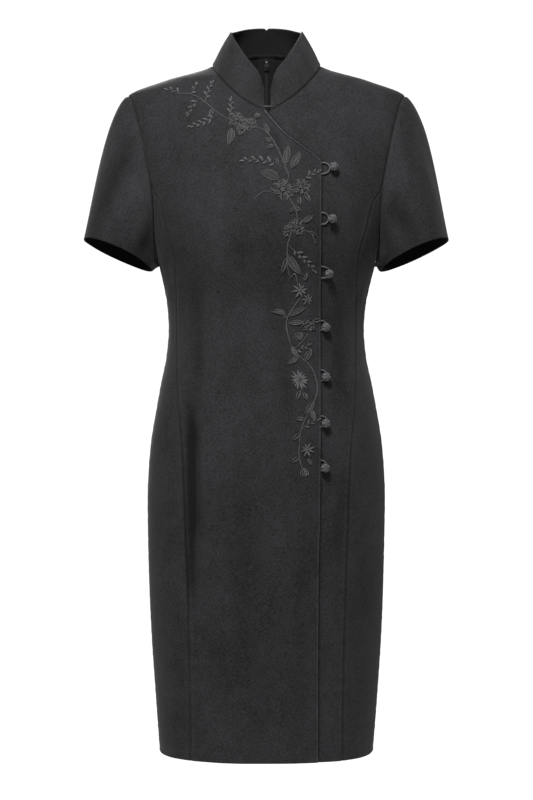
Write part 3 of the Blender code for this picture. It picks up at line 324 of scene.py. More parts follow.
class BodyForm:
    """The surface that the panels lie on, with its folds, creases and drape."""

    drape_below = -0.03
    drape_over = 0.06

    def __init__(self) -> None:
        """Read the form's sections and its lines."""
        self.half_width = SmoothCurve(BODY_SECTIONS, 1)
        self.front_depth = SmoothCurve(BODY_SECTIONS, 2)
        self.back_depth = SmoothCurve(BODY_SECTIONS, 3)
        self.princess_distance = SmoothCurve(PRINCESS)
        self.placket = SmoothCurve(PLACKET)
        self.diagonal_end = np.array((-0.0010, -0.0725))
        self.diagonal_dip = 0.0075
        self.edge_line = self._overlap_edge()

    def point(self, turn: Array, height: Array) -> Array:
        """The point of the bare form at a turn and a height."""
        in_front = np.abs(turn) <= 1
        quarter = np.where(in_front, np.abs(turn), 2 - np.abs(turn)) * math.pi / 2
        across = np.abs(np.sin(quarter)) ** (2 / SECTION_POWER)
        along = np.abs(np.cos(quarter)) ** (2 / SECTION_POWER)
        x = np.sign(turn) * self.half_width(height) * across
        y = np.where(in_front, -self.front_depth(height), self.back_depth(height)) * along
        return np.stack([x, y, height + 0 * x], axis=-1)

    def normal(self, turn: Array, height: Array) -> Array:
        """The outward normal of the bare form."""
        point = self.point(turn, height)
        in_front = np.abs(turn) <= 1
        width = self.half_width(height)
        depth = np.where(in_front, self.front_depth(height), self.back_depth(height))
        depth_slope = np.where(in_front, self.front_depth.slope(height), self.back_depth.slope(height))
        across = np.abs(point[..., 0]) / width
        along = np.abs(point[..., 1]) / depth
        x = np.sign(point[..., 0]) * across ** (SECTION_POWER - 1) / width
        y = np.sign(point[..., 1]) * along ** (SECTION_POWER - 1) / depth
        z = -(across ** SECTION_POWER * self.half_width.slope(height) / width
              + along ** SECTION_POWER * depth_slope / depth)
        return unit(np.stack([x, y, z], axis=-1))

    def front_turn(self, x: Array, height: Array) -> Array:
        """The turn of the front point that lies at x."""
        share = np.clip(np.abs(x) / self.half_width(height), 0.0, 1.0)
        return np.sign(x) * np.arcsin(share ** (SECTION_POWER / 2)) * 2 / math.pi

    def fold_rise(self, point: Array, turn: Array, folds: tuple) -> Array:
        """How far a table of folds moves the cloth out at each point."""
        rise = np.zeros(point.shape[:-1])
        in_front = np.abs(turn) <= 1
        for face, x_top, z_top, x_low, z_low, half_width, height in folds:
            run = np.array([x_low - x_top, z_low - z_top])
            length = np.hypot(*run)
            offset_x = point[..., 0] - x_top
            offset_z = point[..., 2] - z_top
            along = (offset_x * run[0] + offset_z * run[1]) / length ** 2
            across = (offset_x * run[1] - offset_z * run[0]) / length
            ends = smooth_step(along / 0.3 + 0.2) * smooth_step((1 - along) / 0.3 + 0.2)
            swell = height * ends * bell(across, half_width)
            rise = rise + np.where(in_front if face is Face.FRONT else ~in_front, swell, 0.0)
        return rise

    def folded(self, point: Array, turn: Array) -> Array:
        """How far the folds and the finer creases move the cloth out at each point."""
        return self.fold_rise(point, turn, FOLDS) + self.fold_rise(point, turn, CREASES)

    def drape(self, point: Array) -> Array:
        """The slight, uneven waves of soft cloth that hangs."""
        rise = np.zeros(point.shape[:-1])
        for across, up, deep, phase, depth in DRAPE_WAVES:
            rise += depth * np.sin(across * point[..., 0] + up * point[..., 2] + deep * point[..., 1] + phase)
        return rise

    def diagonal(self, share: Array) -> Array:
        """A point (x, height) of the diagonal edge, from the placket's top to the neck."""
        start = np.array([float(self.placket(PLACKET_TOP_Z)), PLACKET_TOP_Z])
        share = np.asarray(share, dtype=float)
        point = start + (self.diagonal_end - start) * share[..., None]
        point[..., 1] -= self.diagonal_dip * np.sin(math.pi * np.clip(share, 0, 1) ** 1.6)
        return point

    def _overlap_edge(self) -> Array:
        """The overlap's edge as (x, height) points, from the hem to the neck."""
        heights = np.linspace(HEM_Z, PLACKET_TOP_Z, 16)
        placket = np.stack([self.placket(heights), heights], axis=-1)
        return np.vstack([placket, self.diagonal(np.linspace(0, 1, 11)[1:])])

    def beyond_edge(self, x: Array, height: Array) -> Array:
        """How far a place lies outside the overlap's edge, below 0 under the overlap."""
        best = np.full(np.shape(x), 1e9)
        for start, end in zip(self.edge_line[:-1], self.edge_line[1:]):
            run = end - start
            share = ((x - start[0]) * run[0] + (height - start[1]) * run[1]) / (run @ run)
            share = np.clip(share, 0.0, 1.0)
            gap = np.hypot(x - start[0] - share * run[0], height - start[1] - share * run[1])
            best = np.minimum(best, gap)
        line = self.edge_line[::-1]
        beyond = x > self.placket(height)
        above = height > np.interp(x, line[:, 0], line[:, 1], left=-1.0, right=-1.0)
        shows = np.where(height < PLACKET_TOP_Z, beyond, above | beyond)
        return np.where(shows, best, -best)

    def lap_sink(self, x: Array, height: Array) -> Array:
        """How far the underlap lies below the overlap's surface."""
        distance = self.beyond_edge(x, height)
        pressed = LAP_PRESS * bell(np.maximum(distance, 0), LAP_PRESS_WIDTH)
        return (CLOTH + LAP_GAP) * (1 - smooth_step(distance / LAP_RISE)) + pressed

    def skin(self, turn: Array, height: Array, lapped: bool = False) -> Pair:
        """Points and normals of the cloth's outer face, folds and drape included.

        Args:
            turn: Turns of the places.
            height: Their heights.
            lapped: True on the underlap, which sinks below the overlap.

        Returns:
            The points and the outward normals.
        """
        turn = np.asarray(turn, dtype=float)
        height = np.asarray(height, dtype=float) + 0 * turn
        point = self.point(turn, height)
        normal = self.normal(turn, height)
        settled = smooth_step((self.drape_below - height) / self.drape_over)
        rise = self.folded(point, turn) + self.drape(point) * settled
        if lapped:
            rise = rise - self.lap_sink(point[..., 0], height)
        return point + normal * rise[..., None], normal

    def front_frame(self, x: float, height: float, lapped: bool) -> Matrix:
        """A frame on the front: z out of the cloth and y up along it."""
        turn = float(self.front_turn(x, height))
        point, normal = self.skin(np.array(turn), np.array(height), lapped)
        out = Vector(normal)
        across = Vector((0.0, 0.0, 1.0)).cross(out).normalized()
        frame = Matrix.Identity(4)
        frame.col[0] = (*across, 0.0)
        frame.col[1] = (*out.cross(across), 0.0)
        frame.col[2] = (*out, 0.0)
        frame.translation = Vector(point)
        return frame


class Pattern:
    """The lines that the dress is cut along, by stations that match the frame's rows."""

    low_angles = (180, 165, 150, 135, 120, 108, 96)
    top_angles = (96, 90, 83, 76, 69, 62, 55, 48, 40, 32, 25, 18, 9, 0)
    back_angles = (180, 166, 154, 142, 130, 118, 107, 96, 85, 74, 63, 52, 41, 31, 21, 10, 0)
    reach_front = 0.345
    reach_back = 0.325
    princess_tip = 0.0015
    squeezed_over = 4
    zip_opens_over = 0.006

    def __init__(self, form: BodyForm) -> None:
        """Lay the lines on a body form."""
        self.form = form

    def armhole(self, angle: Array, face: Face) -> Pair:
        """Turn and height of the armhole at an angle, 0 at the shoulder and 180 below."""
        around = np.radians(angle)
        middle = (SHOULDER_Z + UNDERARM_Z) / 2
        half_height = (SHOULDER_Z - UNDERARM_Z) / 2
        power = np.where(np.asarray(angle) <= 90, 0.6, 1.6)
        reach = self.reach_front if face is Face.FRONT else self.reach_back
        inward = reach * np.abs(np.sin(around)) ** power
        turn = 1 - inward if face is Face.FRONT else 1 + inward
        return turn, middle + half_height * np.cos(around)

    def neck_front(self, angle: Array) -> Pair:
        """Distance from the centre and height of the front neckline at an angle."""
        share = np.clip(np.sin(np.radians(angle)), 0.0, 1.0)
        return NECK_HALF_WIDTH * share, -NECK_DROP * (1 - share ** 1.5) ** 0.8

    def neck_back(self, share: Array) -> Pair:
        """Turn and height of the back neckline, from the side (0) to the centre (1)."""
        return 1 + share, BACK_NECK_Z * np.sin(np.clip(share, 0, 1) * math.pi / 2) ** 1.2

    def skirt_level(self, station: Array) -> Array:
        """Height of a station from the hem to the underarm."""
        return HEM_Z + (UNDERARM_Z - HEM_Z) * station / UNDERARM_ROW

    def low_angle(self, station: Array) -> Array:
        """Armhole angle of a station from the underarm to the princess tip."""
        return np.interp(station, range(UNDERARM_ROW, TIP_ROW + 1), self.low_angles)

    def low_height(self, station: Array) -> Array:
        """Height of a station from the hem up to the princess tip."""
        above = self.armhole(self.low_angle(station), Face.FRONT)[1]
        return np.where(station <= UNDERARM_ROW, self.skirt_level(station), above)

    def princess(self, station: Array) -> Pair:
        """The princess seam, from the hem to the tip in the armhole."""
        height = self.low_height(station)
        turn = self.form.front_turn(self.form.princess_distance(height), height)
        tip_turn, tip_height = self.armhole(np.array(self.low_angles[-1]), Face.FRONT)
        tip_x = self.form.point(tip_turn, tip_height)[0] - self.princess_tip
        tip = self.form.front_turn(tip_x, tip_height)
        return turn + (tip - turn) * smooth_step(station - (TIP_ROW - 1)), height

    def front_outer(self, station: Array) -> Pair:
        """Outer boundary of a centre front: princess seam, then the armhole."""
        angle = np.interp(station, range(TIP_ROW, SHOULDER_ROW + 1), self.top_angles)
        return either(station > TIP_ROW, self.armhole(angle, Face.FRONT), self.princess(station))

    def placket_height(self, station: Array) -> Array:
        """Height of an inner station below the diagonal."""
        table = [float(self.low_height(np.array(float(row)))) for row in range(TIP_ROW + 1)]
        table += [(table[-1] + PLACKET_TOP_Z) / 2, PLACKET_TOP_Z]
        return np.interp(station, range(PLACKET_TOP_ROW + 1), table)

    def up_diagonal(self, station: Array) -> Array:
        """How far up the diagonal edge a station lies, as a share of it."""
        return (station - PLACKET_TOP_ROW) / (NECK_CORNER_ROW - PLACKET_TOP_ROW)

    def neckline(self, station: Array, start: Array) -> Pair:
        """The front neckline above the diagonal, eased from a panel's own corner."""
        rows = (NECK_CORNER_ROW, SHOULDER_ROW - 1, SHOULDER_ROW)
        distance, height = self.neck_front(np.interp(station, rows, (0, 75, 90)))
        ease = np.clip(NECK_CORNER_ROW + 1 - station, 0, 1)
        x = distance + start[0] * ease
        z = height + (start[1] + NECK_DROP) * ease
        return self.form.front_turn(x, z), z

    def overlap_inner(self, station: Array) -> Pair:
        """Inner boundary of the overlap, counted as distances towards its own side."""
        form = self.form
        low = self.placket_height(station)
        placket = -form.front_turn(form.placket(low), low), low
        edge = form.diagonal(self.up_diagonal(station))
        diagonal = -form.front_turn(edge[..., 0], edge[..., 1]), edge[..., 1]
        neck = self.neckline(station, form.diagonal_end * np.array([-1.0, 1.0]))
        upper = either(station <= NECK_CORNER_ROW, diagonal, neck)
        return either(station <= PLACKET_TOP_ROW, placket, upper)

    def underlap_inner(self, station: Array) -> Pair:
        """Inner boundary of the underlap, under the overlap."""
        form = self.form
        top = float(form.placket(PLACKET_TOP_Z))
        run = form.diagonal_end - np.array([top, PLACKET_TOP_Z])
        under = np.array([-run[1], run[0]]) / np.hypot(*run)
        corner = form.diagonal(np.array(0.0)) + under * LAP
        height = self.placket_height(station)
        squeezed = HEM_Z + (height - HEM_Z) * (corner[1] - HEM_Z) / (PLACKET_TOP_Z - HEM_Z)
        above = smooth_step((station - UNDERARM_ROW) / self.squeezed_over)
        level = height + (np.minimum(height, squeezed) - height) * above
        lean = smooth_step((level - UNDERARM_Z) / (corner[1] - UNDERARM_Z))
        x = form.placket(level) - LAP + (corner[0] - top + LAP) * lean
        share = self.up_diagonal(station)
        lap = LAP_AT_NECK + (LAP - LAP_AT_NECK) * np.sqrt(np.clip(1 - share, 0, 1))
        slanted = form.diagonal(share) + under * lap[..., None]
        x, level = either(station <= PLACKET_TOP_ROW, (x, level), (slanted[..., 0], slanted[..., 1]))
        neck = self.neckline(station, form.diagonal(np.array(1.0)) + under * LAP_AT_NECK)
        return either(station > NECK_CORNER_ROW, neck, (form.front_turn(x, level), level))

    def side_outer(self, station: Array) -> Pair:
        """Outer boundary of a side front: side seam, then the armhole."""
        turn = self.armhole(self.low_angle(station), Face.FRONT)[0]
        return np.where(station <= UNDERARM_ROW, 1.0, turn), self.low_height(station)

    def back_outer(self, station: Array) -> Pair:
        """Outer boundary of a back: side seam, then the armhole."""
        angle = np.interp(station, range(UNDERARM_ROW, BACK_SHOULDER_ROW + 1), self.back_angles)
        seam = 1.0, self.skirt_level(station)
        return either(station <= UNDERARM_ROW, seam, self.armhole(angle, Face.BACK))

    def back_inner(self, station: Array) -> Pair:
        """Inner boundary of a back: centre seam, zip, then the neckline."""
        level = np.interp(station, (0, UNDERARM_ROW, BACK_NECK_ROW), (HEM_Z, UNDERARM_Z, BACK_NECK_Z))
        opened = smooth_step((level - ZIP_END_Z) / self.zip_opens_over)
        gap = BACK_SPLIT_HALF + (ZIP_SLOT_HALF - BACK_SPLIT_HALF) * opened
        neck = self.neck_back((BACK_SHOULDER_ROW - station) / (BACK_SHOULDER_ROW - BACK_NECK_ROW))
        return either(station > BACK_NECK_ROW, neck, (2 - self.form.front_turn(gap, level), level))


@dataclass(frozen=True)
class SeamRelief:
    """What a seam or a turned edge does to the cloth beside it."""

    dip: float = 0.0010
    dip_width: float = 0.0017
    swell: float = 0.0003
    swell_at: float = 0.0042
    swell_width: float = 0.0024
    pucker: float = 0.00022
    pucker_reach: float = 0.009
    roll: float = 0.0011
    lip_rise: float = 0.0012
    lip_at: float = 0.0014
    lip_width: float = 0.0013
    ditch: float = 0.0006
    ditch_at: float = 0.0040
    ditch_width: float = 0.0010
    # Painted highlight along the overlap's piped and free edges: its strength, where it lies and its width
    rub: float = 2.1
    painted_highlight_at: float = 0.0010
    painted_highlight_width: float = 0.0010
    # Painted shadow on the underlap beside the overlap's edge: its depth and width
    painted_shadow: float = 0.65
    painted_shadow_width: float = 0.0026

    def seam(self, distance: Array, along: Array) -> Array:
        """Rise beside a sewn seam, at a distance from it and a length along it."""
        dip = -self.dip * bell(distance, self.dip_width)
        swell = self.swell * bell(distance - self.swell_at, self.swell_width)
        ripple = np.sin(along * 610) * 0.6 + np.sin(along * 371 + 1.7) + 0.5 * np.sin(along * 947 + 0.6)
        pucker = self.pucker * ripple * np.exp(-distance / self.pucker_reach)
        return dip + swell + pucker * (1 - bell(distance, self.dip_width))

    def turned(self, distance: Array, along: Array) -> Array:
        """Rise beside a free edge, which rounds over to the inside."""
        inside = np.clip(self.roll - distance, 0.0, self.roll)
        rounding = -(self.roll - np.sqrt(np.maximum(self.roll ** 2 - inside ** 2, 0.0)))
        ripple = np.sin(along * 190) + 0.7 * np.sin(along * 83 + 2.0)
        wave = self.pucker * 0.7 * ripple * np.exp(-distance / self.pucker_reach)
        return rounding + wave

    def lip(self, distance: Array, along: Array) -> Array:
        """Rise of the narrow fold that is stitched down along the overlap's edge."""
        fold = self.lip_rise * bell(distance - self.lip_at, self.lip_width)
        ditch = -self.ditch * bell(distance - self.ditch_at, self.ditch_width)
        return fold * (1 + 0.12 * np.sin(along * 260)) + ditch


RELIEF = SeamRelief()


def lengths_along(points: Array, axis: int) -> Array:
    """Length walked along a grid of points, from its first row or column."""
    steps = np.linalg.norm(np.diff(points, axis=axis), axis=-1)
    start = np.zeros_like(np.take(steps, [0], axis=axis))
    return np.concatenate([start, np.cumsum(steps, axis=axis)], axis=axis)


def grid_normals(points: Array, hint: Array, wraps: bool = False) -> Array:
    """Normals of a grid of points, turned to the side of a hint."""
    up = np.gradient(points, axis=0)
    if wraps:
        ring = points[:, :-1]
        across = np.roll(ring, -1, axis=1) - np.roll(ring, 1, axis=1)
        across = np.concatenate([across, across[:, :1]], axis=1)
    else:
        across = np.gradient(points, axis=1)
    normals = unit(np.cross(up, across))
    agrees = np.sum(normals * hint, axis=-1, keepdims=True) >= 0
    return np.where(agrees, normals, -normals)


def new_object(name: str, data: bpy.types.ID) -> Thing:
    """An object of some data, at the origin of the scene."""
    thing = bpy.data.objects.new(name, data)
    bpy.context.scene.collection.objects.link(thing)
    return thing


def shape_object(name: str, shape: Shape, sharp: float = 180.0) -> Thing:
    """An object of a finished shape, smooth except over edges sharper than an angle in degrees."""
    bmesh.ops.recalc_face_normals(shape, faces=shape.faces[:])
    mesh = bpy.data.meshes.new(name)
    shape.to_mesh(mesh)
    shape.free()
    mesh.shade_smooth()
    if sharp < 180:
        mesh.set_sharp_from_angle(angle=math.radians(sharp))
    return new_object(name, mesh)


def grid_object(name: str, points: Array, spread: Array, hint: Array, wear_and_painted_light: Array,
                wraps: bool = False) -> Thing:
    """A sheet whose grid follows points.

    Args:
        name: The object's name.
        points: Rows and columns of places.
        spread: The same grid laid flat, in metres, for the UV map.
        hint: Outward directions, one for each point.
        wear_and_painted_light: How much lighter (or, below 0, darker) each point is painted, by wear, painted
            shade and painted highlight.
        wraps: True where the last column meets the first.

    Returns:
        The object, with its faces pointing out.
    """
    rows, columns = points.shape[0] - 1, points.shape[1] - 1
    mesh = bpy.data.meshes.new(name)
    shape = bmesh.new()
    bmesh.ops.create_grid(shape, x_segments=columns, y_segments=rows, size=0.5)
    shape.to_mesh(mesh)
    mesh.vertices.foreach_set("co", points.reshape(-1).astype(np.float32))
    corners = np.zeros(len(mesh.loops), dtype=np.int32)
    mesh.loops.foreach_get("vertex_index", corners)
    layer = mesh.uv_layers.new(name="cloth")
    layer.uv.foreach_set("vector", spread.reshape(-1, 2)[corners].reshape(-1).astype(np.float32))
    tone = mesh.attributes.new(WEAR_AND_PAINTED_LIGHT, "FLOAT", "POINT")
    tone.data.foreach_set("value", wear_and_painted_light.reshape(-1).astype(np.float32))
    shape.clear()
    shape.from_mesh(mesh)
    if wraps:
        bmesh.ops.remove_doubles(shape, verts=shape.verts, dist=1e-7)
    shape.faces.ensure_lookup_table()
    shape.normal_update()
    middle = (rows // 2) * columns + columns // 2
    if shape.faces[middle].normal.dot(Vector(hint[rows // 2, columns // 2])) < 0:
        bmesh.ops.reverse_faces(shape, faces=shape.faces[:])
    shape.to_mesh(mesh)
    shape.free()
    mesh.shade_smooth()
    return new_object(name, mesh)


def give_thickness(thing: Thing, thickness: float, shaded_inside: bool = True) -> None:
    """Thicken a sheet inwards, with its second finish on the inside faces where asked: a darker copy of the
    cloth, which is painted shade.
    """
    wall = thing.modifiers.new("thickness", "SOLIDIFY")
    wall.thickness = thickness
    wall.offset = -1.0
    wall.use_even_offset = False
    wall.use_rim = True
    wall.material_offset = 1 if shaded_inside else 0


def wear_and_shade_from_relief(rise: Array, folds: Array | float = 0.0) -> Array:
    """Wear and painted light from small relief and from folds: ridges are painted pale (wear and painted
    highlight) and hollows dark (painted shade).
    """
    small = rise * np.where(rise < 0, SEAM_WEAR_AND_SHADE[1], SEAM_WEAR_AND_SHADE[0])
    large = folds * np.where(folds < 0, FOLD_WEAR_AND_SHADE[1], FOLD_WEAR_AND_SHADE[0])
    return np.clip(small + large, WEAR_AND_SHADE_LEAST, WEAR_AND_SHADE_MOST)


class Nodes:
    """A material's node tree, with short ways to add to it."""

    def __init__(self, name: str) -> None:
        """Start a material with a Principled shader."""
        self.material = bpy.data.materials.new(name)
        self.material.use_nodes = True
        self.tree = self.material.node_tree
        self.shader = self.tree.nodes["Principled BSDF"]
        self.places = self.tree.nodes.new("ShaderNodeTexCoord").outputs

    def feed(self, target: Socket, value: object) -> None:
        """Give an input another socket's result or a fixed value."""
        if isinstance(value, Socket):
            self.tree.links.new(value, target)
        elif target.type == "RGBA":
            target.default_value = (*value, 1.0)
        else:
            target.default_value = value

    def add(self, kind: str, **settings: object) -> bpy.types.Node:
        """A new node, whose settings are its inputs' names or its own properties."""
        node = self.tree.nodes.new(f"ShaderNode{kind}")
        for name, value in settings.items():
            label = name.replace("_", " ").title()
            if label in node.inputs:
                self.feed(node.inputs[label], value)
            else:
                setattr(node, name, value)
        return node

    def noise(self, scale: float, detail: float = 2.0, stretch: Colour = (1.0, 1.0, 1.0)) -> Socket:
        """Noise on Object coordinates, stretched by a mapping."""
        mapping = self.add("Mapping", vector=self.places["Object"], scale=stretch)
        return self.add("TexNoise", vector=mapping.outputs[0], scale=scale, detail=detail).outputs["Fac"]

    def bands(self, pitch: float, turn: float) -> Socket:
        """Even bands a pitch apart, turned on the surface by an angle."""
        mapping = self.add("Mapping", vector=self.places["UV"], rotation=(0.0, 0.0, turn))
        texture = self.add("TexWave", vector=mapping.outputs[0], scale=math.pi / 10 / pitch, distortion=0.0)
        return texture.outputs["Fac"]

    def wear_and_painted_light(self) -> Socket:
        """The piece's own wear and painted light and shade, 0 where it has none."""
        return self.add("Attribute", attribute_name=WEAR_AND_PAINTED_LIGHT).outputs["Fac"]

    def scaled(self, colour: Socket, factor: Socket) -> Socket:
        """A colour made lighter or darker by a factor."""
        return self.add("VectorMath", operation="SCALE", vector=colour, scale=factor).outputs[0]

    def math(self, operation: str, first: object, second: object) -> Socket:
        """A Math node on two sockets or numbers."""
        node = self.add("Math", operation=operation)
        self.feed(node.inputs[0], first)
        self.feed(node.inputs[1], second)
        return node.outputs[0]

    def blend(self, *parts: tuple[Socket, float]) -> Socket:
        """The sum of some sockets, each multiplied by its share."""
        shares = [self.math("MULTIPLY", value, share) for value, share in parts]
        total = shares[0]
        for share in shares[1:]:
            total = self.math("ADD", total, share)
        return total

    def between(self, factor: Socket, low: float, high: float,
                start: float = 0.3, end: float = 0.7) -> Socket:
        """A factor from start to end, mapped to low to high."""
        node = self.add("MapRange", value=factor, from_min=start, from_max=end, to_min=low, to_max=high)
        return node.outputs["Result"]

    def mix(self, factor: Socket, first: Colour, second: Colour) -> Socket:
        """A colour between two colours."""
        node = self.add("Mix", data_type="RGBA", factor=factor)
        self.feed(node.inputs[6], first)
        self.feed(node.inputs[7], second)
        return node.outputs[2]

    def bump(self, height: Socket, distance: float, strength: float, under: Socket | None = None) -> Socket:
        """A bump from a height, on top of another one's normal."""
        node = self.add("Bump", height=height, distance=distance, strength=strength)
        if under is not None:
            self.feed(node.inputs["Normal"], under)
        return node.outputs["Normal"]

    def set(self, **values: object) -> None:
        """Give the shader's own inputs their sockets or values."""
        for name, value in values.items():
            self.feed(self.shader.inputs[name.replace("_", " ")], value)


@dataclass(frozen=True)
class WashedCloth:
    """Sand-washed plain-weave cloth, matte, with a faint nap and uneven dye."""

    name: str
    deep: Colour
    washed: Colour
    weave_pitch: float = 0.00055
    roughness: float = 0.88
    sheen: float = 0.04
    shine: float = 0.12

    def material(self) -> Material:
        """Build the finish."""
        nodes = Nodes(self.name)
        cloud, patch, speck = (
            nodes.between(nodes.noise(*noise), 0.0, 1.0, 0.34, 0.66)
            for noise in ((15.0, 3.0, (1.0, 1.0, 0.6)), (70.0, 3.0, (1.0, 1.0, 0.75)), (520.0, 2.0)))
        dye = nodes.mix(nodes.blend((cloud, 0.30), (patch, 0.14), (speck, 0.56)), self.deep, self.washed)
        weave = nodes.math("MAXIMUM", nodes.bands(self.weave_pitch, 0.0),
                           nodes.bands(self.weave_pitch, math.pi / 2))
        threads = nodes.bump(weave, 0.00006, 0.5)
        nap = nodes.bump(nodes.noise(900.0, 3.0), 0.00022, 0.6, threads)
        # Base colour: the dye scaled by the attribute, which paints shade into seams, creases and folds and
        # paints highlight along ridges and turned edges
        nodes.set(Base_Color=nodes.scaled(dye, nodes.math("ADD", nodes.wear_and_painted_light(), 1.0)),
                  Normal=nodes.bump(nodes.noise(60.0, 2.0, (1.0, 1.0, 0.6)), 0.0014, 0.4, nap),
                  Roughness=nodes.between(cloud, self.roughness - 0.06, self.roughness + 0.05, 0.0, 1.0),
                  Specular_IOR_Level=self.shine, Sheen_Weight=self.sheen, Sheen_Roughness=0.45)
        return nodes.material


@dataclass(frozen=True)
class Floss:
    """Satin-stitched thread: fine parallel stitches with a soft lustre."""

    name: str
    dark: Colour
    light: Colour
    thread_pitch: float = 0.00042
    slant: float = 0.9

    def material(self) -> Material:
        """Build the finish."""
        nodes = Nodes(self.name)
        stitches = nodes.bands(self.thread_pitch, self.slant)
        uneven = nodes.noise(160.0, 2.0)
        # Painted light: the thread is painted pale on its high crests and dark in its low fill and at its
        # edges, from the attribute
        tone = nodes.blend((stitches, 0.09), (uneven, 0.09), (nodes.wear_and_painted_light(), 0.80))
        raised = nodes.bump(stitches, 0.00016, 0.8)
        nodes.set(Base_Color=nodes.mix(tone, self.dark, self.light),
                  Normal=nodes.bump(nodes.noise(700.0, 2.0), 0.00012, 0.4, raised),
                  Roughness=nodes.between(uneven, 0.42, 0.58),
                  Specular_IOR_Level=0.5, Sheen_Weight=0.1, Sheen_Roughness=0.4)
        return nodes.material


@dataclass(frozen=True)
class SatinCord:
    """Narrow bias-cut tube of cloth, as used for loops and knotted buttons."""

    name: str
    dark: Colour
    light: Colour
    rib_pitch: float = 0.0009

    def material(self) -> Material:
        """Build the finish."""
        nodes = Nodes(self.name)
        uneven = nodes.noise(240.0, 3.0)
        # Painted light: on the knotted buttons the cord is painted pale where it stands out and dark in the
        # gaps between strands; loops and shanks take one even tone
        tone = nodes.blend((uneven, 0.25), (nodes.wear_and_painted_light(), 0.75))
        ribs = nodes.bump(nodes.bands(self.rib_pitch, 0.7), 0.00012, 0.6)
        nodes.set(Base_Color=nodes.mix(tone, self.dark, self.light),
                  Normal=nodes.bump(uneven, 0.0003, 0.5, ribs),
                  Roughness=nodes.between(uneven, 0.5, 0.68),
                  Specular_IOR_Level=0.45, Sheen_Weight=0.12, Sheen_Roughness=0.4)
        return nodes.material


@dataclass(frozen=True)
class Enamel:
    """Dark enamelled metal, slightly rubbed."""

    name: str
    colour: Colour
    rubbed: Colour
    metallic: float = 0.85

    def material(self) -> Material:
        """Build the finish."""
        nodes = Nodes(self.name)
        rub = nodes.noise(380.0, 4.0)
        nodes.set(Base_Color=nodes.mix(nodes.between(rub, 0.0, 1.0), self.colour, self.rubbed),
                  Roughness=nodes.between(rub, 0.28, 0.42), Normal=nodes.bump(rub, 0.00005, 0.4),
                  Metallic=self.metallic)
        return nodes.material


@dataclass(frozen=True)
class Ground:
    """The plain pale floor."""

    name: str
    pale: Colour
    paler: Colour

    def material(self) -> Material:
        """Build the finish."""
        nodes = Nodes(self.name)
        nodes.set(Base_Color=nodes.mix(nodes.noise(3.0, 2.0), self.pale, self.paler), Roughness=0.9)
        return nodes.material


@dataclass
class ClothPanel:
    """One cut piece of the body, between an outer and an inner boundary."""

    form: BodyForm
    node: str
    side: int
    outer: Callable[[Array], Pair]
    inner: Callable[[Array], Pair]
    stations: int
    columns: int
    rows: int
    flat: tuple[float, float]
    area: float
    inner_edges: tuple[tuple[float, Edge], ...]
    last_row: Edge = Edge.SEWN
    corners: tuple[int, ...] = ()
    lapped: bool = False
    armhole_from: int = TIP_ROW
    thickness: float = CLOTH
    crowding: float = 0.82
    up_crowding: float = 0.7
    fine_spans: int = 12
    armhole_relief: float = 0.45
    seam_relief: float = 0.6
    free_lip: float = 0.35
    free_painted_highlight: float = 0.25

    def station_rows(self) -> Array:
        """Stations of the rows: about evenly far apart on the cloth, finer at both ends."""
        fine = np.linspace(0, self.stations, self.stations * self.fine_spans + 1)
        length = sum(lengths_along(self.form.point(*line(fine)), 0) for line in (self.outer, self.inner))
        rows = np.interp(clustered(self.rows, self.up_crowding) * length[-1], length, fine)
        for corner in self.corners:
            rows[np.argmin(np.abs(rows - corner))] = corner
        return rows

    def inner_finish(self, stations: Array, kind: Edge) -> Array:
        """1 for each row whose inner edge has a finish, and 0 for the others."""
        kinds = []
        for station in stations:
            found = [edge for limit, edge in self.inner_edges if station <= limit]
            kinds.append(1.0 if found and found[0] is kind else 0.0)
        return np.array(kinds)[:, None]

    def build(self) -> Thing:
        """Build the panel's shell."""
        stations = self.station_rows()
        starts = np.stack(self.outer(stations), axis=-1)[:, None, :]
        ends = np.stack(self.inner(stations), axis=-1)[:, None, :]
        places = starts + (ends - starts) * clustered(self.columns, self.crowding)[None, :, None]
        points, normals = self.form.skin(self.side * places[..., 0], places[..., 1], self.lapped)
        across = lengths_along(points, 1)
        up = lengths_along(points, 0)
        from_inner = across[:, -1:] - across
        from_top = up[-1:, :] - up
        below_armhole = smooth_step(self.armhole_from + 0.5 - stations)[:, None]
        armhole = self.armhole_relief + (1 - self.armhole_relief) * below_armhole
        piped = self.inner_finish(stations, Edge.PIPED)
        free = self.inner_finish(stations, Edge.FREE)
        rise = RELIEF.seam(across, up) * armhole
        rise += RELIEF.seam(from_inner, up) * self.inner_finish(stations, Edge.SEWN) * self.seam_relief
        rise += RELIEF.turned(from_inner, up) * (free + piped)
        rise += RELIEF.lip(from_inner, up) * (piped + self.free_lip * free)
        rise += RELIEF.turned(up, across)
        if self.last_row is Edge.SEWN:
            rise += RELIEF.seam(from_top, across) * self.seam_relief
        turn = self.side * places[..., 0]
        bare = self.form.point(turn, places[..., 1])
        rubbed = bell(from_inner - RELIEF.painted_highlight_at, RELIEF.painted_highlight_width)
        # Painted shade in seams, creases and folds, and paler ridges from wear and painted highlight
        wear_and_painted_light = wear_and_shade_from_relief(rise, self.form.folded(bare, turn))
        # Painted highlight: the band along the piped and free inner edges is painted paler, where a turned
        # edge would catch the light
        wear_and_painted_light += rubbed * RELIEF.rub * (piped + self.free_painted_highlight * free)
        # Painted shadow: the underlap is painted darker right beside the overlap's edge, where that edge
        # casts its shadow
        if self.lapped:
            beside = np.maximum(self.form.beyond_edge(bare[..., 0], places[..., 1]), 0)
            wear_and_painted_light -= RELIEF.painted_shadow * bell(beside, RELIEF.painted_shadow_width)
        points = points + normals * rise[..., None]
        thing = grid_object(f"{self.node}_cloth", points, np.stack([across, up], axis=-1), normals, wear_and_painted_light)
        give_thickness(thing, self.thickness)
        return thing


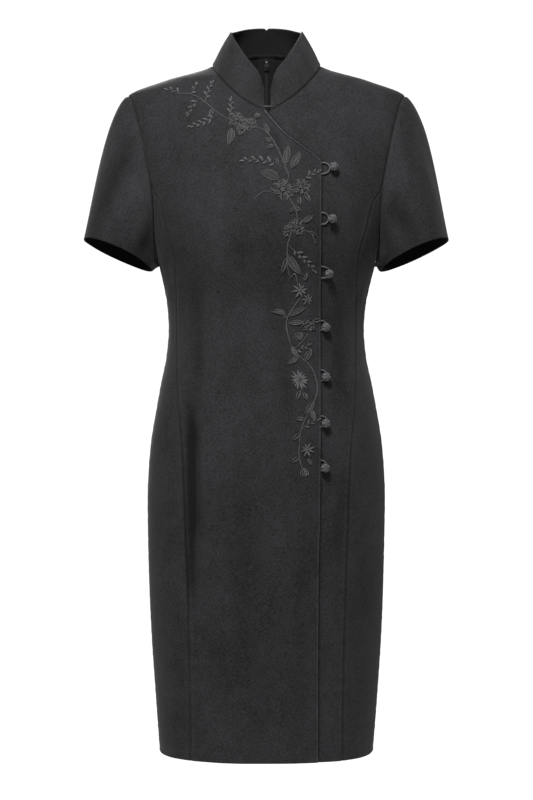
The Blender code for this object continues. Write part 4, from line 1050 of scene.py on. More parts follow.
@dataclass
class Sleeve:
    """A short set-in sleeve, open at the armhole and at the cuff."""

    form: BodyForm
    pattern: Pattern
    side: int
    word: str
    cuff_outer: tuple[float, float] = (0.2564, -0.2456)
    cuff_inner: tuple[float, float] = (0.1605, -0.2880)
    cuff_half_depth: float = 0.056
    cuff_front_lift: float = 0.0105
    cuff_back_drop: float = 0.0040
    top_bulge: float = 0.0125
    side_bulge: float = 0.0060
    bulge_power: float = 0.55
    tuck: float = 0.0019
    shoulder_reach: float = 25.0
    crowding: float = 0.75
    seam_relief: float = 0.45
    wear_and_shade_share: float = 0.6
    underarm_folds: tuple = ((150, 14, 0.0022), (212, 15, 0.0020), (128, 10, -0.0012))
    columns: int = 168
    rows: int = 76

    def points(self) -> Pair:
        """Rows from the armhole to the cuff, and the angle of each column."""
        around = np.linspace(0, 360, self.columns + 1)
        in_front = around <= 180
        angle = np.where(in_front, around, 360 - around)
        front = self.pattern.armhole(angle, Face.FRONT)
        back = self.pattern.armhole(angle, Face.BACK)
        turn = np.where(in_front, front[0], back[0])
        start = self.form.skin(self.side * turn, front[1])[0] * np.array([self.side, 1.0, 1.0])
        radians = np.radians(angle)
        face = np.where(in_front, -1.0, 1.0)
        lift = np.where(in_front, self.cuff_front_lift, -self.cuff_back_drop)
        outer_corner = np.array([self.cuff_outer[0], 0.0, self.cuff_outer[1]])
        inner_corner = np.array([self.cuff_inner[0], 0.0, self.cuff_inner[1]])
        sideways = np.stack([0 * face, face * self.cuff_half_depth, lift], axis=-1)
        end = ((outer_corner + inner_corner) / 2
               + (outer_corner - inner_corner) / 2 * np.cos(radians)[:, None]
               + sideways * np.sin(radians)[:, None])
        top_push = (np.array([0.85, 0.0, 0.53]) * self.top_bulge
                    * (((1 + np.cos(radians)) / 2) ** 1.5)[:, None])
        side_push = (np.stack([0.3 + 0 * face, face, 0 * face], axis=-1)
                     * self.side_bulge * np.sin(radians)[:, None])
        step = clustered(self.rows, self.crowding)[:, None, None]
        swell = np.sin(math.pi * step ** self.bulge_power)
        grid = start + (end - start) * step + (top_push + side_push) * swell
        return grid * np.array([self.side, 1.0, 1.0]), around

    def creases(self, step: Array, around: Array) -> Array:
        """Soft folds that run down the sleeve and out from the underarm."""
        angle = np.radians(around)[None, :]
        fade = smooth_step(step / 0.3) * (1 - 0.5 * smooth_step((step - 0.6) / 0.4))
        down = 0.0009 * np.sin(5 * angle + 1.1 * self.side + 2.2 * step) * fade
        down += 0.0006 * np.sin(9 * angle + 0.7 + 3.1 * step) * fade
        underarm = sum(rise * bell(around - place, width) for place, width, rise in self.underarm_folds)
        return down + underarm * smooth_step(step / 0.15) * (1 - smooth_step((step - 0.35) / 0.5))

    def build(self) -> Thing:
        """Build the sleeve's shell."""
        points, around = self.points()
        centre = points.mean(axis=1, keepdims=True)
        normals = grid_normals(points, points - centre, wraps=True)
        down = lengths_along(points, 0)
        across = lengths_along(points, 1)
        step = clustered(self.rows, self.crowding)[:, None]
        rise = self.creases(step, around)
        rise += RELIEF.seam(down, across) * self.seam_relief + RELIEF.turned(down[-1:] - down, across)
        rise[:, -1] = rise[:, 0]
        ahead = unit(points[1] - points[0])
        points = points + normals * rise[..., None]
        from_shoulder = np.minimum(around, 360 - around)[:, None]
        tuck = self.tuck * (1 - 0.7 * bell(from_shoulder, self.shoulder_reach))
        points[0] -= ahead * tuck + normals[0] * tuck * 0.6
        points[:, -1] = points[:, 0]
        # Painted shade in the sleeve's creases and seam, and paler ridges from wear and painted highlight
        thing = grid_object(f"sleeve_{self.word}_cloth", points, np.stack([across, down], axis=-1),
                            normals, wear_and_shade_from_relief(rise * self.wear_and_shade_share), wraps=True)
        give_thickness(thing, CLOTH)
        return thing


@dataclass
class CollarHalf:
    """Half of the stand collar, with a rounded front corner and a centre back notch."""

    form: BodyForm
    pattern: Pattern
    side: int
    word: str
    front_edge_right: float = 0.0026
    front_edge_left: float = 0.0052
    corner_reach: float = 0.0105
    side_lean: float = 0.66
    front_lean: float = 0.71
    back_lean: float = 0.86
    bow: float = 0.0010
    notch: float = 0.0022
    notch_width: float = 0.0026
    back_split: float = -0.0003
    tuck: float = 0.0016
    front_part: float = 0.56
    # Width and strength of the painted highlight along the collar's edges
    painted_rim_width: float = 0.0016
    painted_rim_highlight: float = 0.45
    roll: float = 1.1
    ripple: float = 0.00035
    wear_and_shade_share: float = 0.6
    crowding: float = 0.75
    up_crowding: float = 0.8
    columns: int = 190
    rows: int = 44
    front_rise: tuple = (
        (0.000, 0.0300), (0.003, 0.0385), (0.0065, 0.0440), (0.0115, 0.0485), (0.017, 0.0520),
        (0.038, 0.0535), (0.054, 0.0530), (0.066, 0.0510), (0.0765, 0.0475),
    )
    back_rise: tuple = ((0.0, 0.0475), (0.25, 0.0452), (0.5, 0.0430), (0.75, 0.0408), (1.0, 0.0394))

    def base_and_top(self) -> Pair:
        """Points of the base seam and of the top edge, from the front to the centre back."""
        edge = self.front_edge_left if self.side > 0 else self.front_edge_right
        first_angle = math.degrees(math.asin(edge / NECK_HALF_WIDTH))
        shares = clustered(self.columns, self.crowding)
        in_front = shares <= self.front_part
        angle = first_angle + (90 - first_angle) * np.clip(shares / self.front_part, 0, 1)
        distance, level = self.pattern.neck_front(angle)
        turn = self.form.front_turn(distance, level)
        front = self.form.skin(self.side * turn, level, lapped=self.side > 0)[0]
        back_share = np.clip((shares - self.front_part) / (1 - self.front_part), 0, 1)
        back_turn, back_level = self.pattern.neck_back(back_share)
        back = self.form.skin(self.side * back_turn, back_level)[0]
        base = np.where(in_front[:, None], front, back)
        rise = np.where(in_front, SmoothCurve(self.front_rise)(distance - edge),
                        SmoothCurve(self.back_rise)(back_share))
        upright = smooth_step(1 - (distance - edge) / self.corner_reach)
        lean_x = np.where(in_front, self.side_lean + (1 - self.side_lean) * upright, self.side_lean)
        blend = smooth_step(back_share / 0.3)
        lean_y = self.front_lean + (self.back_lean - self.front_lean) * np.where(in_front, 0.0, blend)
        top = np.stack([base[:, 0] * lean_x, base[:, 1] * lean_y, base[:, 2] + rise], axis=-1)
        for line in (base, top):
            line[-1, 0] = self.side * self.back_split
        dent = self.notch * np.clip(1 - np.abs(top[:, 0]) / self.notch_width, 0, 1)
        top[:, 2] -= np.where(in_front, 0.0, dent)
        return base, top

    def build(self) -> Thing:
        """Build the collar half's shell."""
        base, top = self.base_and_top()
        share = clustered(self.rows, self.up_crowding)[:, None, None]
        points = base + (top - base) * share
        outward = unit(points * np.array([1.0, 1.0, 0.0]))
        points = points + outward * self.bow * np.sin(math.pi * share)
        normals = grid_normals(points, points * np.array([1.0, 1.0, 0.0]))
        up = lengths_along(points, 0)
        across = lengths_along(points, 1)
        rise = RELIEF.seam(up, across)
        rise += RELIEF.turned(up[-1:] - up, across) * self.roll
        rise += RELIEF.turned(across, up) * self.roll
        rise += self.ripple * np.sin(across * 95 + 3 * self.side) * np.sin(up * 70)
        ahead = unit(points[1] - points[0])
        points = points + normals * rise[..., None]
        points[0] -= ahead * self.tuck + normals[0] * self.tuck * 0.6
        # Painted highlight along the collar's top and front edges, over the wear and painted shade of its
        # relief
        rim = self.painted_rim_highlight * bell(np.minimum(across, up[-1:] - up), self.painted_rim_width)
        wear_and_painted_light = wear_and_shade_from_relief(rise * self.wear_and_shade_share) * (1 - rim) + rim
        thing = grid_object(f"collar_{self.word}_cloth", points, np.stack([across, up], axis=-1),
                            normals, wear_and_painted_light)
        give_thickness(thing, COLLAR_CLOTH)
        return thing


class StitchWork:
    """Many small raised shapes gathered in one mesh."""

    def __init__(self, name: str) -> None:
        """Start an empty mesh."""
        self.name = name
        self.shape = bmesh.new()
        self.flat = self.shape.loops.layers.uv.new("cloth")
        self.tone = self.shape.verts.layers.float.new(WEAR_AND_PAINTED_LIGHT)

    def add(self, points: Array, spread: Array, wraps: bool = False, wear_and_painted_light: Array | None = None) -> None:
        """Add one shape whose grid follows points.

        Args:
            points: Rows and columns of places, facing out where rows run up and columns right.
            spread: The same grid laid flat, in metres.
            wraps: True where the last column meets the first, as on a cord.
            wear_and_painted_light: How pale each point is, from 0 to 1.
        """
        rows, columns = points.shape[0] - 1, points.shape[1] - 1
        made = bmesh.ops.create_grid(self.shape, x_segments=columns, y_segments=rows, size=0.5)
        verts = made["verts"]
        tones = np.full(len(verts), 0.6) if wear_and_painted_light is None else wear_and_painted_light.reshape(-1)
        for vert, place, tone in zip(verts, points.reshape(-1, 3), tones):
            vert.co = place
            vert[self.tone] = tone
        order = {vert: index for index, vert in enumerate(verts)}
        places = spread.reshape(-1, 2)
        faces = {face for vert in verts for face in vert.link_faces}
        for face in faces:
            for loop in face.loops:
                loop[self.flat].uv = places[order[loop.vert]]
        bmesh.ops.remove_doubles(self.shape, verts=verts, dist=1e-6)
        if not wraps:
            kept = [vert for vert in verts if vert.is_valid]
            rim = [edge for vert in kept for edge in vert.link_edges if edge.is_boundary]
            bmesh.ops.holes_fill(self.shape, edges=list(set(rim)), sides=0)

    def finish(self) -> Thing:
        """Make the object, with all its faces pointing out."""
        return shape_object(self.name, self.shape)


def smooth_route(points: Array, count: int, closed: bool = False) -> Array:
    """Even points on a smooth curve through a few given ones.

    Args:
        points: The points to pass through.
        count: Number of spans.
        closed: True where the route returns to its start.

    Returns:
        The count + 1 points.
    """
    points = np.asarray(points, dtype=float)
    if closed:
        padded = np.vstack([points[-1], points, points[0], points[1]])
    else:
        padded = np.vstack([2 * points[0] - points[1], points, 2 * points[-1] - points[-2]])
    fine = []
    for before, start, end, after in zip(padded[:-3], padded[1:-2], padded[2:-1], padded[3:]):
        for share in np.linspace(0, 1, 12, endpoint=False):
            fine.append(0.5 * (2 * start + (end - before) * share
                               + (2 * before - 5 * start + 4 * end - after) * share ** 2
                               + (3 * start - before - 3 * end + after) * share ** 3))
    fine.append(points[0] if closed else points[-1])
    fine = np.array(fine)
    length = lengths_along(fine, 0)
    wanted = np.linspace(0, length[-1], count + 1)
    return np.stack([np.interp(wanted, length, fine[:, axis]) for axis in range(points.shape[1])], axis=-1)


def tube(route: Array, radius: Array | float, up: Array, sides: int = 10, tips: bool = True) -> Pair:
    """A cord's surface round a route.

    Args:
        route: Points along the cord's middle.
        radius: Its radius, along the whole cord or at each point.
        up: A direction, or one at each point, that the cord's section is squared to.
        sides: Number of faces round it.
        tips: True where both ends close to a point.

    Returns:
        The grid of points and the same grid laid flat.
    """
    radii = np.ones(len(route)) * radius
    ahead = unit(np.gradient(route, axis=0))
    sideways = unit(np.cross(ahead, up))
    above = np.cross(sideways, ahead)
    angle = np.linspace(0, 2 * math.pi, sides + 1)
    ring = (np.cos(angle)[None, :, None] * sideways[:, None, :]
            + np.sin(angle)[None, :, None] * above[:, None, :])
    ring[:, -1] = ring[:, 0]
    if tips:
        radii[[0, -1]] = CLOSED_TIP
    girth = angle * np.max(radii)
    spread = np.stack(np.broadcast_arrays(girth[None, :], lengths_along(route, 0)[:, None]), axis=-1)
    return route[:, None, :] + ring * radii[:, None, None], spread


class Stitch(Enum):
    """The shapes that the embroidery is made of."""

    LEAF = "leaf"
    SERRATED = "serrated"
    PETAL = "petal"
    KNOT = "knot"


@dataclass
class Embroidery:
    """A vine of flowers and leaves in raised satin stitch, laid out on the overlap."""

    form: BodyForm
    work: StitchWork
    breadth: float = 1.3
    bead: float = 0.0019
    bead_at: float = 0.0010
    bead_width: float = 0.0007
    fill: float = 0.0003
    ridge: float = 0.0018
    narrow: float = 0.0026
    veined: float = 0.0036
    sunk: float = -0.0004
    stem_radius: float = 1.0
    # How the floss is painted: dark at each shape's edges (painted shade) and pale on its raised crests
    # (painted highlight)
    painted_rim_width: float = 0.0008
    painted_rim_from: float = 0.25
    painted_crest_from: float = 0.0008
    painted_crest_over: float = 0.0009
    petal_places: tuple = (-1.0, -0.93, -0.8, -0.62, -0.35, -0.08, 0.08, 0.35, 0.62, 0.8, 0.93, 1.0)
    knot_places: tuple = (-1.0, -0.85, -0.5, 0.0, 0.5, 0.85, 1.0)

    def on_cloth(self, flat: Array, lift: Array) -> Array:
        """Points on the overlap from (x, height) and a lift off the cloth."""
        height = flat[..., 1]
        turn = self.form.front_turn(flat[..., 0], height)
        points, normals = self.form.skin(turn, height)
        return points + normals * lift[..., None]

    def shape(self, kind: Stitch, x: float, z: float, angle: float, length: float, width: float,
              bend: float = 0.0, raised: float = 0.0) -> None:
        """Add one stitched shape, with its places and sizes in millimetres.

        Args:
            kind: Its outline.
            x: Where it starts, across.
            z: Where it starts, up.
            angle: Its heading in degrees, 0 to +X and 90 up.
            length: Its length.
            width: Its greatest width.
            bend: How far it turns over its length, in degrees.
            raised: Extra lift, for shapes on top of others.
        """
        x, z, length, width, raised = (value / 1000 for value in (x, z, length, width, raised))
        rows = 7 if kind is Stitch.KNOT else max(8, int(length * 900))
        width = width if kind is Stitch.KNOT else width * self.breadth
        along = np.linspace(0, 1, rows + 1)
        half = width / 2 * self.outline(kind, along)
        heading = math.radians(angle) + math.radians(bend) * (along - 0.5)
        step = length / rows
        mid_x = x + np.concatenate([[0], np.cumsum(np.cos(heading[1:]) * step)])
        mid_z = z + np.concatenate([[0], np.cumsum(np.sin(heading[1:]) * step)])
        across = np.array(self.knot_places if kind is Stitch.KNOT else self.petal_places)
        flat_x = mid_x[:, None] - np.sin(heading)[:, None] * half[:, None] * across
        flat_z = mid_z[:, None] + np.cos(heading)[:, None] * half[:, None] * across
        taper = (np.sin(math.pi * along) ** 0.35)[:, None]
        section = self.section(kind, across, width / 2)
        # Painted light: each shape is painted pale on its high crests and dark in its low fill and at its
        # edges
        rim = np.clip((1 - np.abs(across)) * width / 2 / self.painted_rim_width - self.painted_rim_from, 0, 1)
        painted_crest = np.clip((section - self.painted_crest_from) / self.painted_crest_over, 0, 1)
        lift = section * taper + raised * np.sqrt(np.clip(1 - across ** 8, 0, 1)) * taper
        lift = lift + self.sunk * (1 - taper) + self.sunk * (np.abs(across) == 1.0)
        flat = np.stack([flat_x, flat_z], axis=-1)
        spread = np.stack([across * half[:, None], along[:, None] * length + 0 * across], axis=-1)
        self.work.add(self.on_cloth(flat, lift), spread, wear_and_painted_light=painted_crest * rim * np.ones((rows + 1, 1)))

    def outline(self, kind: Stitch, along: Array) -> Array:
        """Half width along a shape, as a share of its greatest."""
        if kind is Stitch.PETAL:
            return np.sin(math.pi * along ** 1.35) ** 0.62
        if kind is Stitch.KNOT:
            return np.sin(math.pi * along) ** 0.5
        lens = np.sin(math.pi * along ** 0.85) ** 0.95
        if kind is Stitch.SERRATED:
            lens = lens * (0.84 + 0.16 * np.abs(np.sin(along * math.pi * 5)))
        return lens

    def section(self, kind: Stitch, across: Array, half: float) -> Array:
        """Height across a shape: a corded outline, a lower fill and a vein, or one plump ridge.

        Args:
            kind: The shape's outline.
            across: Places across it, from -1 to 1.
            half: Its greatest half width, in metres.

        Returns:
            The height at each place.
        """
        plump = np.sqrt(np.clip(1 - across ** 2, 0, 1))
        if kind is Stitch.KNOT or half < self.narrow:
            return self.ridge * plump
        from_edge = (1 - np.abs(across)) * half
        outline = self.bead * bell(from_edge - self.bead_at, self.bead_width)
        inside = self.fill * np.clip(1 - across ** 4, 0, 1)
        vein = 0.7 * self.bead * bell(across * half, self.bead_width)
        return outline + inside + (vein if kind is not Stitch.PETAL and half > self.veined else 0.0)

    def stem(self, route: list[tuple[float, float]], radius: float | None = None) -> None:
        """Add a corded stem through (x, z) points, all in millimetres."""
        points = smooth_route(np.array(route) / 1000, max(10, 8 * len(route)))
        size = (radius or self.stem_radius) / 1000
        share = np.linspace(0, 1, len(points))
        radii = size * (0.25 + 0.75 * np.sin(math.pi * np.clip(share * 0.9 + 0.08, 0, 1)) ** 0.4)
        height = points[..., 1]
        normals = self.form.skin(self.form.front_turn(points[..., 0], height), height)[1]
        middle = self.on_cloth(points, np.full(len(points), size * 0.55))
        self.work.add(*tube(middle, radii, normals, sides=8), wraps=True)

    def sprig(self, x: float, z: float, angle: float, length: float, leaves: int,
              leaf_length: float, bend: float = 25.0, spread: float = 48.0) -> None:
        """Add a stem with small leaves along both sides and one at its tip (millimetres)."""
        steps = 12
        route = [np.array((x, z))]
        for index in range(steps):
            heading = math.radians(angle) + math.radians(bend) * ((index + 0.5) / steps - 0.5)
            route.append(route[-1] + np.array((math.cos(heading), math.sin(heading))) * length / steps)
        self.stem(route[::3], 0.6)
        for index in range(leaves):
            share = 0.22 + 0.72 * index / max(1, leaves - 1)
            place = share * steps
            low = min(int(place), steps - 1)
            here = route[low] + (route[low + 1] - route[low]) * (place - low)
            side = 1 if index % 2 else -1
            turn = angle + bend * (share - 0.5) + side * spread * (1.05 - 0.35 * share)
            size = leaf_length * (1.0 - 0.35 * share) * (1.0 + 0.12 * math.sin(3.1 * index + x))
            self.shape(Stitch.LEAF, *here, turn, size, size * 0.36, -side * 22)
        self.shape(Stitch.LEAF, *route[-1], angle + bend / 2, leaf_length * 0.8, leaf_length * 0.28)

    def leaf(self, x: float, z: float, angle: float, length: float, width: float, bend: float = 20.0,
             kind: Stitch = Stitch.LEAF) -> None:
        """Add one leaf, bent unless its bend is 0 (millimetres)."""
        self.shape(kind, x, z, angle, length, width, bend)

    def blossom(self, x: float, z: float, radius: float, petals: int, turn: float, rings: int = 2) -> None:
        """Add a flower of one or two rings of petals round a few knots (millimetres)."""
        for ring, reach in zip(range(rings), (radius, 0.62 * radius)):
            count = petals - ring
            for index in range(count):
                angle = turn + 360 * index / count + 27 * ring
                start = 0.12 * radius
                sway = 1 + 0.14 * math.sin(2.4 * index + turn)
                self.shape(Stitch.PETAL, x + math.cos(math.radians(angle)) * start,
                           z + math.sin(math.radians(angle)) * start, angle, reach * 0.92 * sway,
                           2 * math.pi * reach / count * 0.60, 16 * (-1) ** index,
                           raised=0.7 * ring + 0.22 * (index % 2))
        for index in range(5):
            angle = math.radians(turn + 72 * index)
            away = radius * 0.13
            size = 0.26 * radius
            self.shape(Stitch.KNOT, x + math.cos(angle) * away - size / 2, z + math.sin(angle) * away, 0,
                       size, size, raised=1.6)

    def bud(self, x: float, z: float, angle: float, length: float) -> None:
        """Add a closed bud: three overlapping petals in a cup (millimetres)."""
        for offset, share, raised in ((-17, 0.94, 0.0), (17, 0.94, 0.3), (0, 1.0, 0.7)):
            self.shape(Stitch.PETAL, x, z, angle + offset, length * share, length * 0.42, -offset, raised)

    def star(self, x: float, z: float, radius: float, rays: int, turn: float) -> None:
        """Add a flower of narrow rays round one knot (millimetres)."""
        for index in range(rays):
            angle = turn + 360 * index / rays
            reach = radius * (1 + 0.2 * math.sin(5.3 * index + turn))
            self.shape(Stitch.LEAF, x, z, angle, reach, radius * 0.27, 14 * (-1) ** index,
                       raised=0.2 * (index % 2))
        self.shape(Stitch.KNOT, x - radius * 0.2, z, 0, radius * 0.4, radius * 0.4, raised=0.8)

    def build(self) -> Thing:
        """Lay out the whole vine, from the shoulder down beside the placket."""
        self.shoulder_branch()
        self.chest_branch()
        self.bust_flowers()
        self.waist_vine()
        self.lower_vine()
        return self.work.finish()

    def shoulder_branch(self) -> None:
        """The sprigs that fan out from the shoulder to the first flowers."""
        self.stem([(-128, -47), (-112, -47), (-96, -52), (-82, -63), (-68, -76), (-52, -86), (-40, -90)])
        self.sprig(-118, -47, 158, 20, 4, 8)
        self.sprig(-106, -49, 62, 17, 3, 8)
        self.sprig(-92, -55, 236, 26, 5, 9)
        self.sprig(-84, -61, 74, 30, 6, 9, bend=-20)
        self.sprig(-66, -78, 206, 40, 8, 10, bend=-30)
        self.sprig(-52, -86, 82, 28, 6, 9, bend=24)
        self.leaf(-74, -70, 262, 17, 5)
        self.leaf(-48, -98, 262, 27, 9, bend=-30)

    def chest_branch(self) -> None:
        """The first flowers and the stem that runs down along the diagonal."""
        self.blossom(-40, -87, 11.5, 7, 10)
        self.blossom(-24, -93, 10.5, 6, 40)
        self.blossom(-34, -101, 8.0, 6, 70, rings=1)
        self.bud(-16, -85, 40, 10)
        self.stem([(-18, -97), (-6, -101), (5, -111), (14, -126), (21, -142), (27, -158), (31, -171)])
        self.leaf(3, -109, 112, 20, 5, bend=24)
        self.leaf(8, -117, 168, 13, 5, bend=-24)
        self.leaf(12, -124, 200, 14, 5, bend=20)
        self.sprig(27, -157, 168, 58, 9, 11, bend=38)
        self.leaf(27, -150, 84, 27, 8, bend=-18)
        self.leaf(32, -157, 62, 29, 8, bend=16)

    def bust_flowers(self) -> None:
        """The two large flowers by the second button and what hangs from them."""
        self.blossom(22, -186, 15.0, 6, 100)
        self.blossom(46, -182, 12.5, 6, 20)
        self.leaf(18, -172, 158, 31, 12, bend=26, kind=Stitch.SERRATED)
        self.leaf(30, -170, 214, 24, 8, bend=-20, kind=Stitch.SERRATED)
        self.stem([(10, -190), (-2, -188), (-12, -194), (-19, -202)], 0.7)
        self.sprig(50, -172, 32, 22, 5, 9, bend=-22)
        self.leaf(52, -190, 300, 15, 5)
        self.leaf(44, -194, 276, 14, 5)
        self.stem([(30, -196), (36, -206), (40, -216), (42, -226)], 0.9)
        self.leaf(37, -207, 318, 13, 5, bend=24)
        self.leaf(38, -210, 226, 11, 4)
        self.blossom(40, -236, 12.0, 7, 5)
        self.blossom(29, -242, 8.0, 6, 50, rings=1)
        self.leaf(48, -229, 34, 18, 6, bend=30)
        self.stem([(46, -240), (56, -242), (63, -249), (66, -259)], 0.7)
        self.leaf(56, -242, 330, 14, 4, bend=-40)

    def waist_vine(self) -> None:
        """The stem past the third button, its long leaves and star flowers."""
        self.stem([(34, -246), (29, -258), (28, -274), (29, -292), (33, -306)], 0.9)
        self.sprig(30, -262, 318, 46, 9, 9, bend=-14)
        self.leaf(28, -272, 306, 36, 9, bend=24)
        self.leaf(27, -276, 252, 26, 5, bend=-14)
        self.stem([(33, -304), (38, -298), (41, -306), (42, -316)], 0.9)
        self.star(46, -320, 11.5, 8, 12)
        self.star(56, -332, 9.0, 7, 30)
        self.leaf(50, -308, 70, 15, 4)
        self.stem([(46, -330), (38, -342), (30, -354), (27, -366), (29, -380), (33, -394)], 0.9)
        self.leaf(27, -352, 172, 22, 6, bend=40)
        self.leaf(30, -356, 28, 29, 6, bend=-20)
        self.leaf(29, -364, 6, 26, 6, bend=22)
        self.leaf(28, -360, 132, 13, 4)
        self.blossom(57, -368, 9.5, 5, 60)
        self.bud(48, -377, 230, 13)
        self.leaf(63, -362, 16, 12, 5)
        self.stem([(57, -378), (50, -388), (41, -397), (34, -400)], 0.8)

    def lower_vine(self) -> None:
        """The fringed flower and the last leaves and buds."""
        self.stem([(33, -394), (39, -404), (50, -414), (60, -424), (66, -437), (69, -452), (66, -468),
                   (58, -484), (51, -498), (46, -514), (44, -530)], 0.9)
        self.leaf(34, -396, 300, 20, 6, bend=20)
        self.leaf(44, -409, 214, 21, 6, bend=-22)
        self.leaf(52, -416, 66, 21, 7, bend=22)
        self.sprig(38, -402, 20, 20, 4, 8)
        self.star(45, -442, 13.5, 14, 0)
        self.blossom(45, -442, 7.0, 6, 30, rings=1)
        self.leaf(46, -456, 250, 15, 5, bend=20)
        self.leaf(50, -458, 296, 13, 5)
        self.leaf(64, -470, 236, 24, 7, bend=-24)
        self.leaf(60, -480, 288, 19, 6, bend=20)
        self.leaf(52, -496, 172, 15, 5, bend=22)
        self.sprig(48, -508, 30, 24, 5, 8, bend=-20)
        self.leaf(46, -514, 222, 15, 5)
        self.star(55, -536, 10.0, 8, 20)
        self.stem([(44, -530), (44, -545), (47, -558), (52, -566)], 0.8)
        self.leaf(44, -546, 210, 14, 5, bend=-20)
        self.bud(50, -560, 278, 14)
        self.leaf(56, -548, 300, 12, 4)


@dataclass
class Fastening:
    """A knotted ball button on its shank and the cord loop round it."""

    form: BodyForm
    number: int
    height: float
    from_edge: float
    half_span: float
    lower_span: float
    lean: float
    ball_radius: float = 0.0056
    ball_height: float = 0.0094
    core: tuple = ((0.0, -0.0046), (0.0026, -0.0038), (0.0042, -0.0012),
                   (0.0042, 0.0012), (0.0026, 0.0038), (0.0, 0.0046))
    shank: tuple = ((0.0, 0.0), (0.0026, 0.0002), (0.0020, 0.0012),
                    (0.0018, 0.0026), (0.0018, 0.0052), (0.0, 0.0060))
    cord_radius: float = 0.00145
    loop_radius: float = 0.0011
    loop_height: float = 0.0024
    past_shank: float = 0.0034
    short_of: float = 0.0034
    far_button: float = 0.0115

    def button(self) -> Thing:
        """A ball of knotted cord: one closed strand that crosses over and under itself."""
        work = StitchWork(f"knot_{self.number}")
        frame = self.form.front_frame(self.edge_x + self.from_edge, self.height, True)
        leads, lobes = 3, 5
        around = np.linspace(0, 2 * math.pi, 181)
        spin = leads * around + 0.9 * self.number
        rise = math.radians(60) * np.sin(lobes * around)
        middle = self.ball_radius - self.cord_radius
        away = middle + 0.00055 * np.sin(lobes * (leads - 1) * around + math.pi / 2)
        route = np.stack([away * np.cos(rise) * np.cos(spin), away * np.cos(rise) * np.sin(spin),
                          away * np.sin(rise) * 0.94], axis=-1)
        route[-1] = route[0]
        points, spread = tube(route, self.cord_radius, unit(route), tips=False)
        points[-1] = points[0]
        # Painted shade and highlight: the cord is painted dark in the gaps between its strands and pale where
        # it stands out from the ball
        out = np.linalg.norm(points, axis=-1) - (self.ball_radius - 1.5 * self.cord_radius)
        painted_gap_shade = np.clip(out / (1.5 * self.cord_radius), 0, 1) ** 2.2
        work.add(self.placed(frame, points, self.ball_height), spread, wraps=True, wear_and_painted_light=painted_gap_shade)
        self.turned(work, frame, [(radius, self.ball_height + rise) for radius, rise in self.core])
        self.turned(work, frame, self.shank)
        return work.finish()

    @property
    def edge_x(self) -> float:
        """Where the placket edge lies at the button."""
        return float(self.form.placket(self.height))

    def placed(self, frame: Matrix, points: Array, lift: float) -> Array:
        """Points of the button's own frame, moved on to the cloth and leant towards the edge."""
        turn = np.array(frame.to_3x3())
        raised = points + np.array([0.0, 0.0, lift])
        placed = raised @ turn.T + np.array(frame.translation)
        foot = self.ball_height + self.core[0][1]
        placed[..., 0] -= self.lean * np.clip(raised[..., 2] / foot, 0, 1)
        return placed

    def turned(self, work: StitchWork, frame: Matrix, profile: Sequence[tuple[float, float]]) -> None:
        """Add a turned solid from (radius, height) rows, from its foot to its top."""
        rows = smooth_route(np.array(profile), 10)
        rows[:, 0] = np.maximum(rows[:, 0], 0.0)
        rows[0, 0] = rows[-1, 0] = 0.0
        angle = np.linspace(0, 2 * math.pi, 17)
        points = np.stack(np.broadcast_arrays(rows[:, :1] * np.cos(angle), rows[:, :1] * np.sin(angle),
                                              rows[:, 1:]), axis=-1)
        points[:, -1] = points[:, 0]
        spread = np.stack(np.broadcast_arrays(angle[None, :] * 0.003, rows[:, 1:]), axis=-1)
        work.add(self.placed(frame, points, 0.0), spread, wraps=True)

    def loop(self) -> Thing:
        """The cord loop, from inside the placket edge round the shank and back."""
        work = StitchWork(f"loop_{self.number}")
        seat = CLOTH + LAP_GAP
        end = self.from_edge + (self.past_shank if self.from_edge < self.far_button else -self.short_of)
        end -= self.lean / 2
        rows = (
            (-0.0050, 1.03, seat - 0.0014), (-0.0008, 1.0, seat - 0.0010),
            (0.30 * end, 0.95, self.loop_height - 0.0004), (0.60 * end, 0.80, self.loop_height),
            (0.85 * end, 0.53, self.loop_height), (end, 0.0, self.loop_height),
        )
        upper = [(self.edge_x + x, self.height + z * self.half_span, lift) for x, z, lift in rows]
        lower = [(self.edge_x + x, self.height - z * self.lower_span, lift) for x, z, lift in rows[:-1]]
        flat = smooth_route(np.array(upper + lower[::-1]), 64)
        turn = self.form.front_turn(flat[:, 0], flat[:, 1])
        points, normals = self.form.skin(turn, flat[:, 1], lapped=True)
        route = points + normals * flat[:, 2:]
        work.add(*tube(route, self.loop_radius, normals), wraps=True)
        return work.finish()


def rounded(shape: Shape, edges: list, offset: float, segments: int = 2) -> list:
    """Round some edges of a shape, and return the vertices that come of it."""
    return bmesh.ops.bevel(shape, geom=edges, offset=offset, offset_type="OFFSET", segments=segments,
                           profile=0.5, affect="EDGES", material=-1)["verts"]


